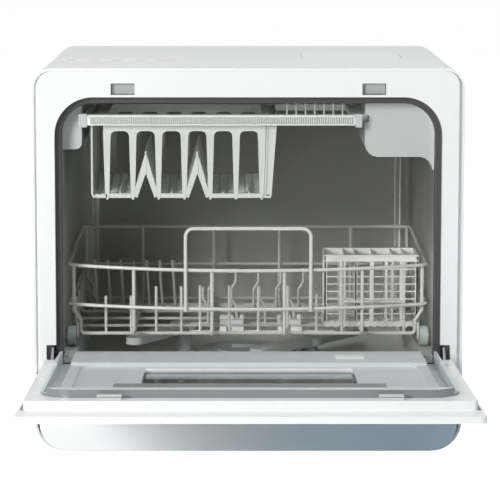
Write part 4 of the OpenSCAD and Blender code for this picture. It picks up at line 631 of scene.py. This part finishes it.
def perforated(build, corner, across, back, columns, rows, bar_x, bar_y):
    """A thin plate with rows of slots, from corner along two directions."""
    across, back, corner = Vector(across), Vector(back), Vector(corner)
    nx, ny = 2 * columns + 1, 2 * rows + 1
    grid = bmesh.ops.create_grid(build, x_segments=nx, y_segments=ny, size=1)
    wide, deep = across.length, back.length
    slot_x = (wide - (columns + 1) * bar_x) / columns
    slot_y = (deep - (rows + 1) * bar_y) / rows
    spots = {}
    for vert in grid["verts"]:
        i, j = round((vert.co.x + 1) / 2 * nx), round((vert.co.y + 1) / 2 * ny)
        spots[vert] = (i, j)
        u = (i // 2) * (bar_x + slot_x) + (i % 2) * bar_x
        v = (j // 2) * (bar_y + slot_y) + (j % 2) * bar_y
        vert.co = corner + across.normalized() * u + back.normalized() * v
    faces = {f for v in grid["verts"] for f in v.link_faces}
    first = {f: [min(spots[v][k] for v in f.verts) for k in (0, 1)] for f in faces}
    slots = [f for f in faces if first[f][0] % 2 and first[f][1] % 2]
    faces -= set(slots)
    bmesh.ops.delete(build, geom=slots, context="FACES_ONLY")
    bmesh.ops.solidify(build, geom=list(faces), thickness=shelf_sheet * 0.8)


shelf_y0, shelf_y1 = low.y, high.y
shelf_d = shelf_y1 - shelf_y0
under = shelf_floor - shelf_sheet
ridge_z = low.z + 0.0472
ridge_slots = (7, 26, 0.0016, 0.0018)
floor_slots = (3, 15, 0.0012, 0.0042)
build = bmesh.new()
comb(build, shelf_y0, shelf_y0 + 0.0026, low.z, 0.0021)
comb(build, shelf_y1 - shelf_sheet, shelf_y1, shelf_floor, 0.0021, arch_top + 0.0068)
for i in range(leg_n - 1):
    x0, x1 = leg_x[i], leg_x[i + 1]
    middle = (x0 + x1) / 2
    if i in (1, 3):
        rise = ridge_z - shelf_floor
        run_back = (0, shelf_d - 0.003, 0)
        start_y = shelf_y0 + 0.002
        perforated(build, (x0, start_y, shelf_floor), (middle - x0, 0, rise), run_back, *ridge_slots)
        perforated(build, (middle, start_y, ridge_z), (x1 - middle, 0, -rise), run_back, *ridge_slots)
        fold = [(x0, shelf_floor), (middle, ridge_z), (x1, shelf_floor)]
        fold += [(x1 - 0.0042, under), (middle, ridge_z - 0.0215), (x0 + 0.0042, under)]
        drawn_back(build, fold, shelf_y0 + 0.0002, shelf_y0 + 0.0024)
        near = (middle - 0.0008, shelf_y0 - 0.0004, ridge_z - 0.0225)
        slab(build, near, (middle + 0.0008, shelf_y1 - 0.001, ridge_z - 0.002))
    else:
        run_back = (0, shelf_d - 0.002, 0)
        perforated(build, (x0, shelf_y0 + 0.001, shelf_floor), (x1 - x0, 0, 0), run_back, *floor_slots)
        near = (x0 - 0.001, shelf_y0 + 0.0004, under)
        slab(build, near, (x1 + 0.001, shelf_y0 + 0.0026, shelf_floor + 0.0026))
        near = (middle - 0.0007, shelf_y0 + 0.002, shelf_floor)
        slab(build, near, (middle + 0.0007, shelf_y0 + 0.075, shelf_floor + 0.004))

# The left end turns up in a round corner, and its floor runs on to the
# first leg; the right end has a flap of two plates with a web between them.
near = (low.x + 0.001, shelf_y0 + 0.001, shelf_floor)
across = (leg_x[0] - low.x - 0.001, 0, 0)
perforated(build, near, across, (0, shelf_d - 0.002, 0), 2, 15, 0.0014, 0.0042)
slab(build, (low.x + 0.004, shelf_y0, under), (leg_x[0], shelf_y0 + 0.002, shelf_floor + 0.0020))
slab(build, (low.x, shelf_y0, shelf_floor + 0.0036), (low.x + shelf_sheet, shelf_y1, high.z))
slab(build, (low.x, shelf_y0, high.z - 0.003), (leg_x[0], shelf_y1, high.z))
corner = []
for outer, radius in ((False, 0.0036), (True, 0.0054)):
    arc = sorted((pi + k * pi / 12 for k in range(7)), reverse=outer)
    corner += [(low.x + 0.0054 + radius * cos(a), shelf_floor + 0.0036 + radius * sin(a)) for a in arc]
drawn_back(build, corner, shelf_y0, shelf_y1)
flap_in, flap_out = leg_x[-1] + 0.0024, leg_x[-1] + 0.0096
plate_w = 0.0016
for foot_x, head_x in ((flap_in, flap_in + 0.0025), (flap_out - plate_w, flap_out + 0.0041)):
    plate = [(foot_x, shelf_floor), (foot_x + plate_w, shelf_floor)]
    plate += [(head_x + plate_w, high.z), (head_x, high.z)]
    drawn_back(build, plate, shelf_y0, shelf_y1)
web_foot = shelf_floor + 0.0012
web = [(flap_in + 0.001, web_foot), (flap_in + 0.0032, high.z)]
web += [(flap_out + 0.0046, high.z), (flap_out - 0.001, web_foot)]
drawn_back(build, web, shelf_y0 + 0.0012, shelf_y0 + 0.0026)
slab(build, (leg_x[-1], shelf_y0, under), (flap_out - 0.0008, shelf_y1, shelf_floor + 0.0004))
slab(build, (leg_x[-1], shelf_y0, high.z - 0.003), (flap_in + 0.003, shelf_y1, high.z))
for vert in build.verts:
    fade = min(1, max(0, (high.z - vert.co.z) / (high.z - shelf_floor)))
    vert.co.z += shelf_rise * fade * (vert.co.y - shelf_y0) / shelf_d
made(build, "pleated_shelf", shelf_moulding, "glass_shelf", edge=0.0002)

# ---- Door ----
# Two white mouldings clipped back to back: the outer panel with the grip
# edge, and the inner frame that carries the pale grey liner. The liner's
# near rim has painted shade, a darker grey on its front-facing wall, and a white top.
softened("door_outer_panel", white_gloss, 0.0012, 3)
softened("door_inner_frame", white_gloss, 0.001, 3)
liner_moulding = finish("liner_moulding", "#cfd6d6", 0.34, 0.0012, 0.00002, 0.02)
liner = softened("door_liner", liner_moulding, 0.0022, 3)
liner_wall_painted_shade = finish("liner_wall_painted_shade", "#858b8c", 0.3, 0.0009, 0.00001, 0.03,
                   Coat_Weight=0.3, Coat_Roughness=0.2)
liner.data.materials.append(liner_wall_painted_shade)
liner.data.materials.append(white_gloss)
near_rim_y, rim_top_z = -0.262, 0.122
for face in liner.data.polygons:
    if face.center.y >= near_rim_y:
        continue
    # Painted shade: the near rim's faces that face the front take the darker grey.
    if face.normal.y < -0.12 and face.normal.z < 0.4:
        face.material_index = 1
    elif face.normal.z > 0.9 and face.center.z > rim_top_z:
        face.material_index = 2
softened("door_screws", white_gloss, 0.0002)
drip_moulding = finish("drip_moulding", "#8b9694", 0.42, 0.0009, 0.00003, 0.03)
softened("drip_strip", drip_moulding, 0.0004)
softened("latch_strikes", cover_moulding, 0.0006)
softened("liner_tab", clip_moulding, 0.0005)
softened("wheel_stops", cover_moulding, 0.0005)

# ---- Window ----
# Two panes of tempered glass in a rubber channel, let into the door. The
# upper pane has a pale band that is a painted highlight, and a dark band, and a
# white bead runs along its hinge side.
glass = finish("tinted_glass", "#b9c3c6", 0.2, 0.004, 0.000002, 0.02, wear=0.03,
               Transmission_Weight=1.0, IOR=1.5)
softened("window_panes", glass, 0.0002)
softened("window_seal", seal_rubber, 0.0003)
door_open = radians(87)
door_place = Matrix.Translation((0, -0.0360, 0.096)) @ Matrix.Rotation(door_open, 4, "X")
pane_half, pane_u0, pane_u1, pane_v = 0.0972, 0.1013, 0.1837, 0.0061


def pane_trim(name, material, *strips):
    """Flat trim on the upper pane, from strips of half-width, inner and outer u and top v."""
    build = bmesh.new()
    for half, u0, u1, v1 in strips:
        slab(build, (-half, pane_v, u0), (half, v1, u1))
    bmesh.ops.transform(build, matrix=door_place, verts=build.verts)
    trim = made(build, name, material, edge=0.0001)
    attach(trim, nodes["window_seal"]["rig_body"])


far_lip = (pane_half, pane_u0, 0.1075, 0.0064)
near_lip = (pane_half, pane_u1 - 0.0030, pane_u1, 0.0066)
pane_trim("pane_seal_lip", seal_rubber, far_lip, near_lip)
# Painted highlight: the pale band stands for a glint of light on the upper pane.
pane_glint_paint = finish("pane_glint_paint", "#eef2f3", 0.55, 0.0012, 0.000001, 0.03)
band_half, band_v = pane_half - 0.002, pane_v + 0.0001
pane_trim("pane_painted_glint_band", pane_glint_paint, (band_half, 0.1105, 0.1400, band_v))
dark_ink = finish("dark_ink", "#1f2123", 0.55, 0.0012, 0.000001, 0.03)
pane_trim("pane_dark_band", dark_ink, (band_half, 0.1440, pane_u1 - 0.0032, band_v))
bead_half, bead_v = pane_half - 0.001, 0.0100
pane_trim("pane_edge_bead", white_gloss, (bead_half, pane_u0 - 0.0040, pane_u0 - 0.0006, bead_v))
